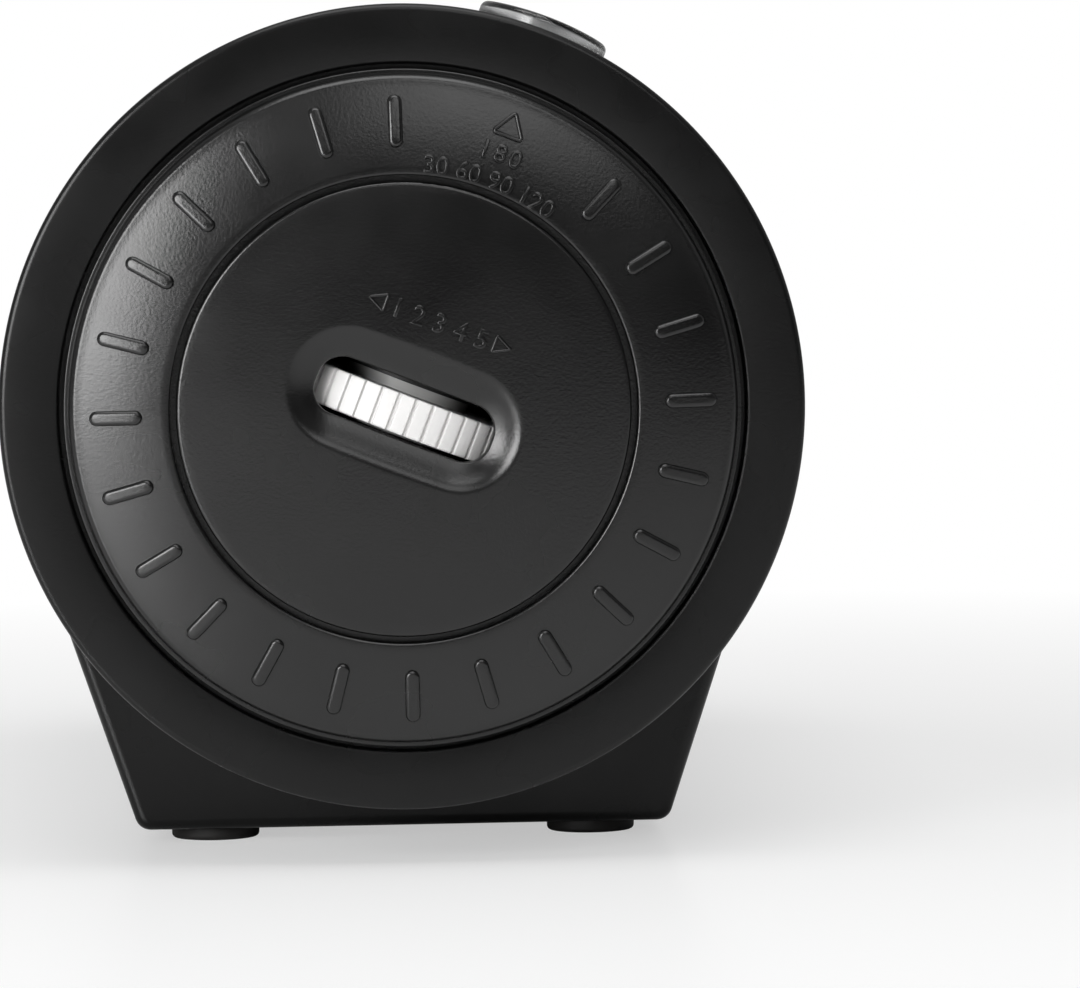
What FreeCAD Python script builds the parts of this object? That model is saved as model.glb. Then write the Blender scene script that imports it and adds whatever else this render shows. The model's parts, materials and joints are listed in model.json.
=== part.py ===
import FreeCAD, Part
import math
import os

# Projection alarm clock: a barrel body on a tapered base, a projector drum that turns on its +X end
# and a fixed sounder drum on its -X end. Millimetres and degrees, +Z up, the display faces -Y.
# The origin is at the bottom centre, on the surface that the feet stand on.

os.makedirs("parts", exist_ok=True)

V = FreeCAD.Vector
ACROSS = V(1, 0, 0)
BACK = V(0, 1, 0)
UP = V(0, 0, 1)

# Overall form
barrel_radius = 44.0
drum_radius = barrel_radius
axis_height = 50.2
body_half = 59.1
drum_gap = 0.5
drum_depth = 27.0
lens_tilt = 21.7
base_taper = 18.5
base_corner = 1.8
edge_round = 1.2

# Walls
shell_wall = 2.2
floor_wall = 2.0
end_wall = 2.5
drum_wall = 2.0
drum_back_wall = 2.4
lip_thick = 1.1
lip_gap = 0.1
lip_height = 1.8
lip_root = 3.0

# Feet
foot_height = 1.5
foot_radius = 5.0
foot_end_gap = 7.1
foot_x = body_half - foot_end_gap
foot_y = 21.5
foot_bevel = 0.5
foot_peg_radius = 2.0
foot_peg = 1.5

# Fits, how far a boss is let into its wall, and how far a cut runs past its face
fit = 0.1
let_in = 0.5
past = 1.0
run_fit = 0.06
hub_fit = 0.08

# Case screws and their bosses
boss_end_gap = 12.1
boss_x = body_half - boss_end_gap
boss_y = 14.0
boss_radius = 4.6
boss_cap_radius = 3.6
boss_top_wall = 8.0
screw_head_radius = 2.8
screw_head = 2.0
screw_radius = 1.4
screw_reach = 18.0
counterbore_radius = 3.3

# Display window and display
window_angle = 26.0
window_half_width = 40.0
window_half_height = 13.0
window_corner = 3.0
window_flange = 2.0
window_flange_thick = 1.5
block_half_width = 38.5
block_half_height = 10.5
block_depth = 8.0
block_stand_off = 3.9
board_thick = 1.6
display_board_half_height = 12.0
rib_thick = 2.0
digit_height = 15.6
digit_width = 8.6
digit_pitch = 15.0
digit_group_gap = 5.0
segment_width = 1.7
segment_depth = 1.2
segment_gap = 0.35
colon_radius = 1.1

# Keys on top
key_proud = 0.0
key_travel = 0.8
key_fit = 0.3
key_flange = 1.4
key_flange_thick = 1.2
key_flange_drop = 0.3
key_stem_radius = 2.0
key_board_end_gap = 4.1
key_board_half = (body_half - key_board_end_gap, 9.4)
key_board_drop = 13.4
key_post_inset = 2.1
key_post_x = key_board_half[0] - key_post_inset
key_post_y = 6.0
key_post_radius = 2.4
small_half = (4.0, 6.0)
small_corner = 1.6
small_key_pitch = 11.2
small_key_post_gap = 9.1
small_key_last = key_post_x - small_key_post_gap
small_key_first = small_key_last - small_key_pitch
snooze_gap = 4.6
snooze_half = (small_key_first - small_half[0] - snooze_gap, 8.0)
snooze_corner = 4.0
switch_half = 3.0
switch_height = 3.5
plunger_radius = 1.7
plunger_proud = 1.2
plunger_pocket = 1.4
plunger_bottom_gap = 0.2

# Small screws for boards and brackets
small_screw_radius = 1.1
small_head_radius = 2.1
small_head = 1.2
small_screw_reach = 5.0
post_screw_reach = 2.6
wall_screw_reach = 1.6

# Main board
main_board_z = 24.0
main_board_end_gap = 17.1
main_board_x = body_half - main_board_end_gap
main_board_front_gap = 14.0
main_post_inset = 4.0
main_post_x = main_board_x - main_post_inset
main_post_front_gap = 20.0
main_post_y = barrel_radius - main_post_front_gap
main_post_radius = 2.9
connector_size = (6.0, 8.0, 5.4)
connector_inset = 3.5
connector_x = main_board_x - connector_inset
chip_half = 7.0
chip_thick = 1.6
memory_chip = (8.0, 7.0)
memory_chip_place = (18.0, -16.5)
capacitors = ((4.0, 9.0, 14.0), (3.1, 7.0, 3.0))
capacitor_x = 26.0
crystal_size = (5.0, 4.0, 3.2)
crystal_place = (-31.5, 14.0)

# Rear panel with the jack and the slide switch
panel_half_width = 20.0
panel_z = (25.0, 38.0)
panel_inset = 7.6
panel_y = barrel_radius - panel_inset
panel_wall = 2.2
board_panel_gap = 1.2
main_board_y = (main_board_front_gap - barrel_radius, panel_y - panel_wall - board_panel_gap)
jack_x = -11.0
jack_half_width = 4.5
jack_height = 11.0
jack_length = 13.2
jack_nose_radius = 3.9
jack_bore_radius = 2.9
jack_bore_depth = 10.0
jack_pin_radius = 1.05
jack_pin_inset = 0.8
switch_x = 11.0
slide_half_width = 6.0
slide_depth = 6.0
slide_height = 8.4
slide_slot_drop = 3.6
slide_slot = (9.6, 3.2)
slide_knob = (4.0, 2.6)
slide_travel = 4.0
slide_proud = 1.6
slide_pocket = 4.0

# Battery box in the floor
cell_radius = 5.25
cell_length = 44.5
cell_pitch = 11.2
cell_nub = (1.9, 1.0)
cell_lift = 0.3
box_wall = 1.2
box_play = 2.25
box_side_play = 0.75
box_top_play = 0.5
door_gap = 0.2
door_thick = 1.8
tab_y = 7.0
tab_half = 2.0
tab_thick = 0.9
tab_reach = 1.1
tab_top = 2.9
tab_under = 2.1
latch_half = 3.0
latch_top = 3.4
contact_thick = 0.4
contact_half = 4.4
contact_door_gap = 0.6
contact_bump = (3.2, 1.8)

# Hub that carries the drum
hub_radius = 12.0
hub_bore = 9.0
hub_flange_radius = 15.0
hub_flange_thick = 2.0
lug_half = 2.0
lug_reach = 18.0
stop_gap = 0.1
stop_depth = 3.1
stop_y = (15.6, 19.0)
washer_inner = 14.0
washer_outer = 20.0
washer_thick = 0.4

# Drum front
rim_round = 1.5
ring_width = 6.44
ring_bore = drum_radius - ring_width
ring_plate = 2.3
ring_ledge = 2.56
ring_step_inner = ring_bore - ring_ledge
ring_step_outer = ring_bore + 0.84
ring_step_depth = 4.6
ledge_depth = 1.9

# Dial cap and centre cover, heights taken from the drum's flat ring face
cap_gap = 0.66
cap_radius = ring_bore - cap_gap
cap_shoulder_height = 1.15
cap_shoulder_round = 1.4
shoulder_bend = 0.27
cap_edge_height = 2.6
cap_inner_height = 4.4
cap_bulge = 0.2
cap_width = 11.5
cap_bore = cap_radius - cap_width
cap_ledge = 2.0
cap_ledge_bore = cap_bore - cap_ledge
cap_ledge_height = 2.3
cap_plate_height = 0.4
cap_spigot_reach = 4.2
cap_spigot_fit = 0.15
cap_spigot_wall = 1.45
cover_gap = 0.7
cover_radius = cap_bore - cover_gap
cover_edge_height = 4.4
cover_apex_height = 5.4
cover_plate = 1.9
cover_rim = 2.7
cover_edge_round = 0.3
cover_spigot_reach = 1.7
cover_spigot_wall = 1.3
recess_length = 26.3
recess_width = 12.9
recess_depth = 2.2
recess_wall = 1.6
slot_length = 20.2
slot_width = 6.4
slot_corner = 2.8

# Raised bars and marker on the dial cap
bar_pitch = 15.0
bar_count = 24
bar_edge_gap = 2.8
bar_outer = cap_radius - bar_edge_gap
bar_length = 5.7
bar_inner = bar_outer - bar_length
bar_width = 1.6
bar_proud = 0.55
bar_bevel = 0.38
marker_edge_gap = 2.3
marker_outer = cap_radius - marker_edge_gap
marker_length = 3.2
marker_inner = marker_outer - marker_length
marker_half_width = 1.95
marker_line = 0.45
marker_proud = 0.3
arrow_tip = 8.2
arrow_shift = 0.3
arrow_length = 1.9
arrow_half_height = 0.95
arrow_up = 10.15
arrow_line = 0.32
arrow_proud = 0.35

# Optics, measured along the lens axis from the drum axis
optic_inset = 9.8
wheel_radius = 14.4
wheel_width = 4.3
wheel_drop = 0.6
rib_count = 46
rib_height = 0.4
rib_top = 1.45
rib_foot = 1.55
wheel_hub_radius = 7.0
wheel_hub_low = 0.45
wheel_hub_high = 2.05
tube_radius = 5.5
tube_low = -6.0
tube_window_gap = 14.0
tube_high = drum_radius - tube_window_gap
tube_bore = 4.2
tube_seat = 3.5
tube_seat_radius = 4.7
tube_key_half = 0.6
tube_key_proud = 0.7
focus_travel = 1.8
guide_radius = 8.0
guide_end_gap = 6.0
guide_high = tube_high - guide_end_gap
tube_key = (7.0, guide_high - 2.0)
guide_low = 2.7
lamp_radius = 7.5
lamp_low = -31.0
lamp_seat = -16.0
lamp_throat = 4.0
lamp_bore = 5.05
tile_seat = -12.0
tile_half = 3.8
tile_thick = 1.2
condenser_thick = 4.0
condenser_dome = 2.0
lamp_base_radius = 3.0
lamp_base = 3.0
lamp_board_half = (7.0, 9.0)
lamp_board_shift = 2.0
bracket_half_width = 13.0
bracket_plate = 2.5
bracket_web_half = 3.0
guide_bracket = (8.0, 18.0)
lamp_bracket = (-26.0, -14.0)
bracket_screw_y = 10.4
window_radius = 7.35
window_proud = 1.5
window_ear = 1.4
window_ear_thick = 1.2
driver_rim_gap = 9.0
driver_y = (14.0, drum_radius - driver_rim_gap)
driver_half = 13.0
driver_stand_off = 1.5
driver_board = 1.2
driver_post_inset = 4.0
driver_post_y = driver_y[1] - driver_post_inset
driver_post_z = 9.0
driver_post_radius = 2.5

# Leads
lead_radius = 1.1
lead_meet_gap = 13.1
lead_meet_x = body_half - lead_meet_gap
lead_bend = 6.0
lead_bends = (12.0, 6.0)
ribbon_thick = 0.6
display_ribbon_half = 10.0
key_ribbon_half = 6.0
key_ribbon_place = -24.0
plug_size = (3.4, 5.0, 5.0)
plug_z = -6.5
driver_chip = (1.2, 7.0, 3.5)
driver_chip_gap = 8.0
lead_rise = (9.0, 3.5)

# Sounder drum and sounder
sounder_boss = (14.0, 20.0)
sounder_screw_radius = 17.0
grille_centre_height = 5.35
grille_plate_height = 1.0
grille_hole_radius = 1.0
grille_pitch = 4.4
grille_rings = 5
sounder_radius = 21.0
sounder_depth = 10.0
sounder_wall = 1.2
magnet_radius = 11.0
magnet_depth = 7.0
surround = 2.2
cone_drop = 4.0
dust_radius = 6.0
dust_rise = 1.6
grille_seat = 1.5
locator_wall = 1.5
locator_height = 2.6

drum_back = body_half + drum_gap
ring_face = drum_back + drum_depth
inner_end = body_half - end_wall
optic_x = ring_face - optic_inset
inner_radius = barrel_radius - shell_wall
floor_top = foot_height + floor_wall
axis_point = V(0, 0, axis_height)


# Basic shapes
def box(x0, x1, y0, y1, z0, z1):
    return Part.makeBox(x1 - x0, y1 - y0, z1 - z0, V(x0, y0, z0))


def rod(radius, length, start, along):
    return Part.makeCylinder(radius, length, start, along)


def pipe(outer, inner, length, start, along):
    return rod(outer, length, start, along).cut(rod(inner, length, start, along))


def joined(shapes):
    first = shapes[0]
    return first.multiFuse(shapes[1:]).removeSplitter() if len(shapes) > 1 else first


def both_sides(shape):
    return [shape, shape.mirror(V(0, 0, 0), BACK)]


def rounded_corner(before, at, after, radius):
    to_before = (before - at).normalize()
    to_after = (after - at).normalize()
    half_turn = to_before.getAngle(to_after) / 2
    reach = radius / math.tan(half_turn)
    inward = (to_before + to_after).normalize()
    middle = at + inward * (radius / math.sin(half_turn) - radius)
    return at + to_before * reach, middle, at + to_after * reach


def rounded_face(points, radius):
    # A flat face round the points, with each corner rounded
    edges = []
    count = len(points)
    corners = [rounded_corner(points[i - 1], points[i], points[(i + 1) % count], radius)
               for i in range(count)]
    for i, (start, middle, end) in enumerate(corners):
        edges.append(Part.Arc(start, middle, end).toShape())
        following = corners[(i + 1) % count][0]
        if end.distanceToPoint(following) > 1e-6:
            edges.append(Part.makeLine(end, following))
    return Part.Face(Part.Wire(edges))


def rounded_prism(centre, side, rise, half_side, half_rise, radius, path):
    # A rounded rectangle spanned by two directions and carried along a path
    corners = [centre + side * (a * half_side) + rise * (b * half_rise)
               for a, b in ((-1, -1), (1, -1), (1, 1), (-1, 1))]
    return rounded_face(corners, radius).extrude(path)


def lathe(steps, start=V(0, 0, 0), along=ACROSS, outward=UP):
    # A profile of (distance, radius) steps turned about an axis. A step of four values is an arc
    # that passes through its first two values on the way to its last two.
    def place(distance, radius):
        return start + along * distance + outward * radius

    edges = []
    current = place(*steps[0][-2:])
    for step in steps[1:] + steps[:1]:
        target = place(*step[-2:])
        if len(step) == 4:
            edges.append(Part.Arc(current, place(*step[:2]), target).toShape())
        elif current.distanceToPoint(target) > 1e-7:
            edges.append(Part.makeLine(current, target))
        current = target
    return Part.Face(Part.Wire(edges)).revolve(start, along, 360)


def dome_drop(rise, radius):
    # How far a shallow ball-shaped dome has dropped halfway out from its top
    ball = (radius**2 + rise**2) / (2 * rise)
    return ball - math.sqrt(ball**2 - (radius / 2)**2)


def bent_tube(points, bends, radius):
    # Straight runs joined by tangent arcs, one bend radius for each inner point
    edges = []
    current = points[0]
    for i, bend in enumerate(bends):
        start, middle, end = rounded_corner(points[i], points[i + 1], points[i + 2], bend)
        edges.append(Part.makeLine(current, start))
        edges.append(Part.Arc(start, middle, end).toShape())
        current = end
    edges.append(Part.makeLine(current, points[-1]))
    ring = Part.Wire(Part.makeCircle(radius, points[0], points[1] - points[0]))
    return Part.Wire(edges).makePipeShell([ring], True, False)


def on_drum(shape):
    # Drum pieces are drawn with the lens pointing up and the drum axis along X through the origin
    placed = shape.copy()
    placed.rotate(V(0, 0, 0), ACROSS, -lens_tilt)
    placed.translate(axis_point)
    return placed


def on_axis(shape):
    placed = shape.copy()
    placed.translate(axis_point)
    return placed


def save(name, shape):
    shape.exportStep(os.path.join("parts", name + ".step"))
    print(name, len(shape.Solids), round(shape.Volume, 1), shape.isValid())


def save_group(name, shapes):
    save(name, Part.makeCompound(shapes))


def small_screw(head_face, along):
    # The head stands against the face and the shank goes on along the direction
    head = rod(small_head_radius, small_head, head_face - along * small_head, along)
    shank = rod(small_screw_radius, small_screw_reach, head_face, along)
    return head.fuse(shank).removeSplitter()


# Body shells
def body_prism(radius, floor, corner_radius, half_length):
    taper = math.radians(base_taper)
    tangent_y = radius * math.cos(taper)
    tangent_z = axis_height - radius * math.sin(taper)
    bottom_y = tangent_y - (tangent_z - floor) * math.tan(taper)
    right = V(-half_length, tangent_y, tangent_z)
    left = V(-half_length, -tangent_y, tangent_z)
    low_right = V(-half_length, bottom_y, floor)
    low_left = V(-half_length, -bottom_y, floor)
    top = V(-half_length, 0, axis_height + radius)
    r_start, r_mid, r_end = rounded_corner(right, low_right, low_left, corner_radius)
    l_start, l_mid, l_end = rounded_corner(low_right, low_left, left, corner_radius)
    edges = [Part.makeLine(right, r_start), Part.Arc(r_start, r_mid, r_end).toShape(),
             Part.makeLine(r_end, l_start), Part.Arc(l_start, l_mid, l_end).toShape(),
             Part.makeLine(l_end, left), Part.Arc(left, top, right).toShape()]
    return Part.Face(Part.Wire(edges)).extrude(V(2 * half_length, 0, 0))


outer_body = body_prism(barrel_radius, foot_height, base_corner, body_half)
end_edges = [e for e in outer_body.Edges if abs(abs(e.CenterOfMass.x) - body_half) < 1e-6]
outer_body = outer_body.makeFillet(edge_round, end_edges)
inner_body = body_prism(inner_radius, floor_top, base_corner, inner_end)
far = 4 * barrel_radius
below_split = box(-far, far, -far, far, -far, axis_height)
above_split = box(-far, far, -far, far, axis_height, axis_height + far)
hub_hole = rod(hub_radius + hub_fit, end_wall + 2 * past, axis_point + ACROSS * (inner_end - past), ACROSS)
lead_hole = rod(2 * lead_radius, end_wall + 2 * past, axis_point - ACROSS * (inner_end - past), -ACROSS)
case_corners = [(x, y) for x in (-boss_x, boss_x) for y in (-boss_y, boss_y)]
screw_seat_z = axis_height - boss_top_wall
sounder_screw_angles = (90, 210, 330)


def sounder_screw_place(angle, x):
    turn = math.radians(angle)
    return V(x, sounder_screw_radius * math.cos(turn), axis_height + sounder_screw_radius * math.sin(turn))


sounder_screw_holes = [rod(small_screw_radius + fit, end_wall + 2 * past,
                           sounder_screw_place(a, -inner_end + past), -ACROSS)
                       for a in sounder_screw_angles]


# Lower shell with its base, bosses, battery box, rear panel and drum stops
def lower_shell():
    solid = outer_body.common(below_split)
    hollow = inner_body.common(below_split)
    walls = solid.cut(hollow)
    lip_length = inner_end - 2
    lip_out = inner_radius - lip_gap
    additions = []
    for side in both_sides(box(-lip_length, lip_length, lip_out - lip_thick, lip_out,
                               axis_height - lip_root, axis_height + lip_height)):
        additions.append(side)
    for side in both_sides(box(-lip_length, lip_length, lip_out - lip_thick, inner_radius + shell_wall / 3,
                               axis_height - lip_root, axis_height)):
        additions.append(side)
    for x, y in case_corners:
        additions.append(rod(boss_radius, axis_height - floor_top + let_in, V(x, y, floor_top - let_in), UP))
    for x, y in main_posts:
        additions.append(rod(main_post_radius, main_board_z - floor_top + let_in,
                             V(x, y, floor_top - let_in), UP))
    additions.append(box(-box_half - box_wall, box_half + box_wall, -box_y - box_wall, box_y + box_wall,
                         floor_top - let_in, box_top + box_wall))
    panel_block = box(-panel_half_width - panel_wall, panel_half_width + panel_wall, panel_y - panel_wall,
                      far, panel_z[0] - panel_wall, panel_z[1] + panel_wall)
    additions.append(panel_block.common(solid))
    for side in both_sides(box(inner_end - stop_depth, inner_end + let_in, stop_y[0], stop_y[1],
                               axis_height - lug_half - stop_gap - stop_depth,
                               axis_height - lug_half - stop_gap)):
        additions.append(side)
    shell = joined([walls] + additions)
    cuts = [hub_hole, lead_hole] + sounder_screw_holes
    cuts.append(box(-panel_half_width, panel_half_width, panel_y, far, panel_z[0], panel_z[1]))
    jack_start = V(jack_x, panel_inner - past, jack_z)
    cuts.append(rod(jack_nose_radius + fit, panel_wall + 2 * past, jack_start, BACK))
    cuts.append(box(switch_x - slide_slot[0] / 2, switch_x + slide_slot[0] / 2, panel_inner - past,
                    panel_y + past, slide_z - slide_slot[1] / 2, slide_z + slide_slot[1] / 2))
    for x, y in case_corners:
        cuts.append(rod(counterbore_radius, screw_seat_z + past, V(x, y, -past), UP))
        cuts.append(rod(screw_radius + fit, boss_top_wall + 2 * past, V(x, y, screw_seat_z - past), UP))
    for x, y in main_posts:
        cuts.append(rod(small_screw_radius, small_screw_reach + past,
                        V(x, y, main_board_z - small_screw_reach), UP))
    for x, y in foot_places:
        cuts.append(rod(foot_peg_radius + fit, foot_peg + fit + past, V(x, y, foot_height - past), UP))
    cuts.append(box(-box_half, box_half, -box_y, box_y, foot_height - past, box_top))
    for y in (-tab_y, tab_y):
        cuts.append(box(box_half - let_in, box_half + box_wall + past, y - tab_half - door_gap,
                        y + tab_half + door_gap, floor_top, foot_height + tab_top + 3 * fit))
    return shell.cut(Part.makeCompound(cuts)).removeSplitter()


main_posts = [(x, y) for x in (-main_post_x, main_post_x) for y in (-main_post_y, main_post_y)]
foot_places = [(x, y) for x in (-foot_x, foot_x) for y in (-foot_y, foot_y)]
box_half = cell_length / 2 + box_play
box_y = cell_pitch / 2 + cell_radius + box_side_play
box_top = floor_top + cell_lift + 2 * cell_radius + box_top_play
board_top = main_board_z + board_thick
jack_z = board_top + jack_height / 2
slide_z = board_top + slide_height - slide_slot_drop
panel_inner = panel_y - panel_wall

# Directions of the window: out through its middle and up along it
window_turn = math.radians(window_angle)
window_out = V(0, -math.cos(window_turn), math.sin(window_turn))
window_up = V(0, math.sin(window_turn), math.cos(window_turn))


def window_prism(half_width, half_height, corner_radius):
    start = axis_point + window_out * (barrel_radius / 2)
    return rounded_prism(start, ACROSS, window_up, half_width, half_height, corner_radius,
                         window_out * barrel_radius)


# Keys: each has a place along X, half sizes and a corner radius
key_shapes = [("snooze_bar", 0.0, snooze_half, snooze_corner)]
for number, key_x in enumerate((-small_key_last, -small_key_first, small_key_first, small_key_last), 1):
    key_shapes.append(("key_%d" % number, key_x, small_half, small_corner))
key_flange_top = axis_height + math.sqrt(inner_radius**2 - (snooze_half[1] + key_flange)**2) - key_flange_drop
key_board_top = axis_height + inner_radius - key_board_drop + board_thick
switch_top = key_board_top + switch_height
key_posts = [(x, y) for x in (-key_post_x, key_post_x) for y in (-key_post_y, key_post_y)]


def key_prism(x, half, corner_radius, low, high):
    return rounded_prism(V(x, 0, low), ACROSS, BACK, half[0], half[1], corner_radius, UP * (high - low))


def grown(half, extra):
    return (half[0] + extra, half[1] + extra)


# Upper shell with the window and key openings, bosses, display ribs and key board posts
def upper_shell():
    solid = outer_body.common(above_split)
    hollow = inner_body.common(above_split)
    walls = solid.cut(hollow)
    additions = []
    for x, y in case_corners:
        boss = rod(boss_cap_radius, barrel_radius, V(x, y, axis_height), UP)
        additions.append(boss.common(solid))
    for x, y in key_posts:
        post = rod(key_post_radius, barrel_radius, V(x, y, key_board_top), UP)
        additions.append(post.common(solid))
    rib_start = window_half_width + window_flange + 0.3
    for x in (-rib_start - rib_thick, rib_start):
        corner_low = axis_point + window_out * display_board_back
        rib = rounded_prism(corner_low + ACROSS * (x + rib_thick / 2), ACROSS, window_up, rib_thick / 2,
                            display_board_half_height, rib_thick / 4, window_out * barrel_radius)
        additions.append(rib.common(solid))
    shell = joined([walls] + additions)
    cuts = [hub_hole, lead_hole] + sounder_screw_holes
    cuts.append(window_prism(window_half_width, window_half_height, window_corner))
    for _, x, half, corner_radius in key_shapes:
        cuts.append(key_prism(x, grown(half, key_fit), corner_radius + key_fit,
                              key_flange_top - 2, axis_height + barrel_radius + 2))
    for x, y in case_corners:
        cuts.append(rod(screw_radius - fit, screw_reach - boss_top_wall + 1, V(x, y, axis_height), UP))
    for x, y in key_posts:
        cuts.append(rod(small_screw_radius, small_screw_reach, V(x, y, key_board_top), UP))
    return shell.cut(Part.makeCompound(cuts)).removeSplitter()


block_front = inner_radius - block_stand_off
block_back = block_front - block_depth
display_board_back = block_back - board_thick


def display_window():
    pane = rod(barrel_radius, 2 * far, axis_point - ACROSS * far, ACROSS)
    pane = pane.cut(rod(inner_radius, 2 * far, axis_point - ACROSS * far, ACROSS))
    pane = pane.common(window_prism(window_half_width - fit, window_half_height - fit, window_corner - fit))
    lap = rod(inner_radius, 2 * far, axis_point - ACROSS * far, ACROSS)
    lap = lap.cut(rod(inner_radius - window_flange_thick, 2 * far, axis_point - ACROSS * far, ACROSS))
    lap = lap.common(window_prism(window_half_width + window_flange, window_half_height + window_flange,
                                  window_corner + window_flange))
    return pane.fuse(lap).removeSplitter()


def display_slab(half_width, half_height, back, front):
    start = axis_point + window_out * back
    return rounded_prism(start, ACROSS, window_up, half_width, half_height, 0.5, window_out * (front - back))


# Seven bars of one digit as (across, up, half width, half height) from its middle
def digit_bars():
    reach_x = (digit_width - segment_width) / 2
    reach_z = (digit_height - segment_width) / 2
    flat = reach_x - segment_width / 2 - segment_gap / 2
    tall = reach_z / 2 - segment_width / 2 - segment_gap / 2
    half = segment_width / 2
    bars = [(0, z, flat, half) for z in (-reach_z, 0, reach_z)]
    bars += [(x, z, half, tall) for x in (-reach_x, reach_x) for z in (-reach_z / 2, reach_z / 2)]
    return bars


def segment_prisms(extra):
    prisms = []
    start = axis_point + window_out * (block_front - segment_depth - extra)
    for place in (-1.5, -0.5, 0.5, 1.5):
        middle = place * digit_pitch + math.copysign(digit_group_gap / 2, place)
        for across, up, half_across, half_up in digit_bars():
            centre = start + ACROSS * (middle + across) + window_up * up
            prisms.append(rounded_prism(centre, ACROSS, window_up, half_across + extra, half_up + extra,
                                        segment_width / 4, window_out * (segment_depth + 2 * extra)))
    for up in (-digit_height / 5, digit_height / 5):
        prisms.append(rod(colon_radius + extra, segment_depth + 2 * extra, start + window_up * up,
                          window_out))
    return prisms


# Case, feet and screws
save("lower_shell", lower_shell())
save("upper_shell", upper_shell())

feet = []
for x, y in foot_places:
    foot = lathe([(0, 0), (0, foot_radius - foot_bevel), (foot_bevel, foot_radius),
                  (foot_height, foot_radius), (foot_height, foot_peg_radius),
                  (foot_height + foot_peg, foot_peg_radius),
                  (foot_height + foot_peg, 0)], V(x, y, 0), UP, ACROSS)
    feet.append(foot)
save_group("rubber_feet", feet)

case_screws = []
for x, y in case_corners:
    head = rod(screw_head_radius, screw_head, V(x, y, screw_seat_z - screw_head), UP)
    shank = rod(screw_radius - fit, screw_reach, V(x, y, screw_seat_z), UP)
    case_screws.append(head.fuse(shank).removeSplitter())
save_group("case_screws", case_screws)

# Display
save("display_window", display_window())
block = display_slab(block_half_width, block_half_height, block_back, block_front)
save("digit_block", block.cut(Part.makeCompound(segment_prisms(0.0))).removeSplitter())
save_group("digit_segments", segment_prisms(0.0))
display_board_half_width = window_half_width + window_flange + 0.1
save("display_board", display_slab(display_board_half_width, display_board_half_height,
                                   display_board_back, block_back))
ribbon_at = axis_point + window_out * (display_board_back - ribbon_thick)
ribbon_low_y = (ribbon_at - window_up * (display_board_half_height - 2)).y
display_ribbon = box(-display_ribbon_half, display_ribbon_half, ribbon_low_y, ribbon_low_y + ribbon_thick,
                     board_top, axis_height + display_board_half_height)
display_ribbon = display_ribbon.cut(display_slab(far, far, display_board_back, far))


# Keys with their switches
def key_cap(x, half, corner_radius):
    low = key_flange_top - key_flange_thick
    skin = rod(barrel_radius + key_proud, 2 * far, axis_point - ACROSS * far, ACROSS)
    cap = key_prism(x, half, corner_radius, low, axis_height + far).common(skin)
    rim = key_prism(x, grown(half, key_flange), corner_radius + key_flange, low, key_flange_top)
    stem_low = switch_top + plunger_proud
    stem = rod(key_stem_radius, low - stem_low + let_in, V(x, 0, stem_low), UP)
    return joined([cap, rim, stem])


switches = []
for name, x, half, corner_radius in key_shapes:
    save(name, key_cap(x, half, corner_radius))
    housing = box(x - switch_half, x + switch_half, -switch_half, switch_half, key_board_top, switch_top)
    pocket_floor = switch_top - plunger_pocket
    housing = housing.cut(rod(plunger_radius + run_fit, plunger_pocket + past, V(x, 0, pocket_floor), UP))
    switches.append(housing)
    plunger_low = pocket_floor + key_travel + plunger_bottom_gap
    plunger = rod(plunger_radius, switch_top + plunger_proud - plunger_low, V(x, 0, plunger_low), UP)
    save(name.replace("_bar", "") + "_plunger", plunger)
save_group("key_switches", switches)
save("key_board", rounded_prism(V(0, 0, key_board_top - board_thick), ACROSS, BACK, key_board_half[0],
                                key_board_half[1], 1.0, UP * board_thick)
     .cut(Part.makeCompound([rod(small_screw_radius, board_thick, V(x, y, key_board_top - board_thick), UP)
                             for x, y in key_posts])))
save_group("key_board_screws", [small_screw(V(x, y, key_board_top - board_thick), UP) for x, y in key_posts])
key_ribbon_y = key_board_half[1] - 2
key_ribbon = box(key_ribbon_place - key_ribbon_half, key_ribbon_place + key_ribbon_half, key_ribbon_y,
                 key_ribbon_y + ribbon_thick, board_top, key_board_top - board_thick)
save_group("ribbons", [display_ribbon, key_ribbon])

# Main board
board = box(-main_board_x, main_board_x, main_board_y[0], main_board_y[1], main_board_z, board_top)
board = board.cut(Part.makeCompound([rod(small_screw_radius, board_thick, V(x, y, main_board_z), UP)
                                     for x, y in main_posts]))
save("main_board", board)


def on_board(place, size):
    # A block that stands on the main board: its middle, and its length, width and height
    return box(place[0] - size[0] / 2, place[0] + size[0] / 2, place[1] - size[1] / 2, place[1] + size[1] / 2,
               board_top, board_top + size[2])


chips = [on_board((0, 0), (2 * chip_half, 2 * chip_half, chip_thick)),
         on_board(memory_chip_place, memory_chip + (chip_thick,)),
         on_board(crystal_place, crystal_size)]
for radius, height, y in capacitors:
    chips.append(rod(radius, height, V(capacitor_x, y, board_top), UP))
for x in (-connector_x, connector_x):
    chips.append(on_board((x, 0), connector_size))
save_group("board_parts", chips)
save_group("board_screws", [small_screw(V(x, y, board_top), -UP) for x, y in main_posts])

# Power jack and slide switch behind the rear panel
jack = box(jack_x - jack_half_width, jack_x + jack_half_width, panel_inner - jack_length, panel_inner,
           board_top, board_top + jack_height)
jack = jack.fuse(rod(jack_nose_radius, panel_wall - 2 * fit, V(jack_x, panel_inner, jack_z), BACK))
jack_face = panel_inner + panel_wall - 2 * fit
jack = jack.cut(rod(jack_bore_radius, jack_bore_depth, V(jack_x, jack_face - jack_bore_depth, jack_z), BACK))
save("power_jack", jack.removeSplitter())
save("jack_pin", rod(jack_pin_radius, jack_bore_depth - jack_pin_inset,
                     V(jack_x, jack_face - jack_bore_depth, jack_z), BACK))

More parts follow.
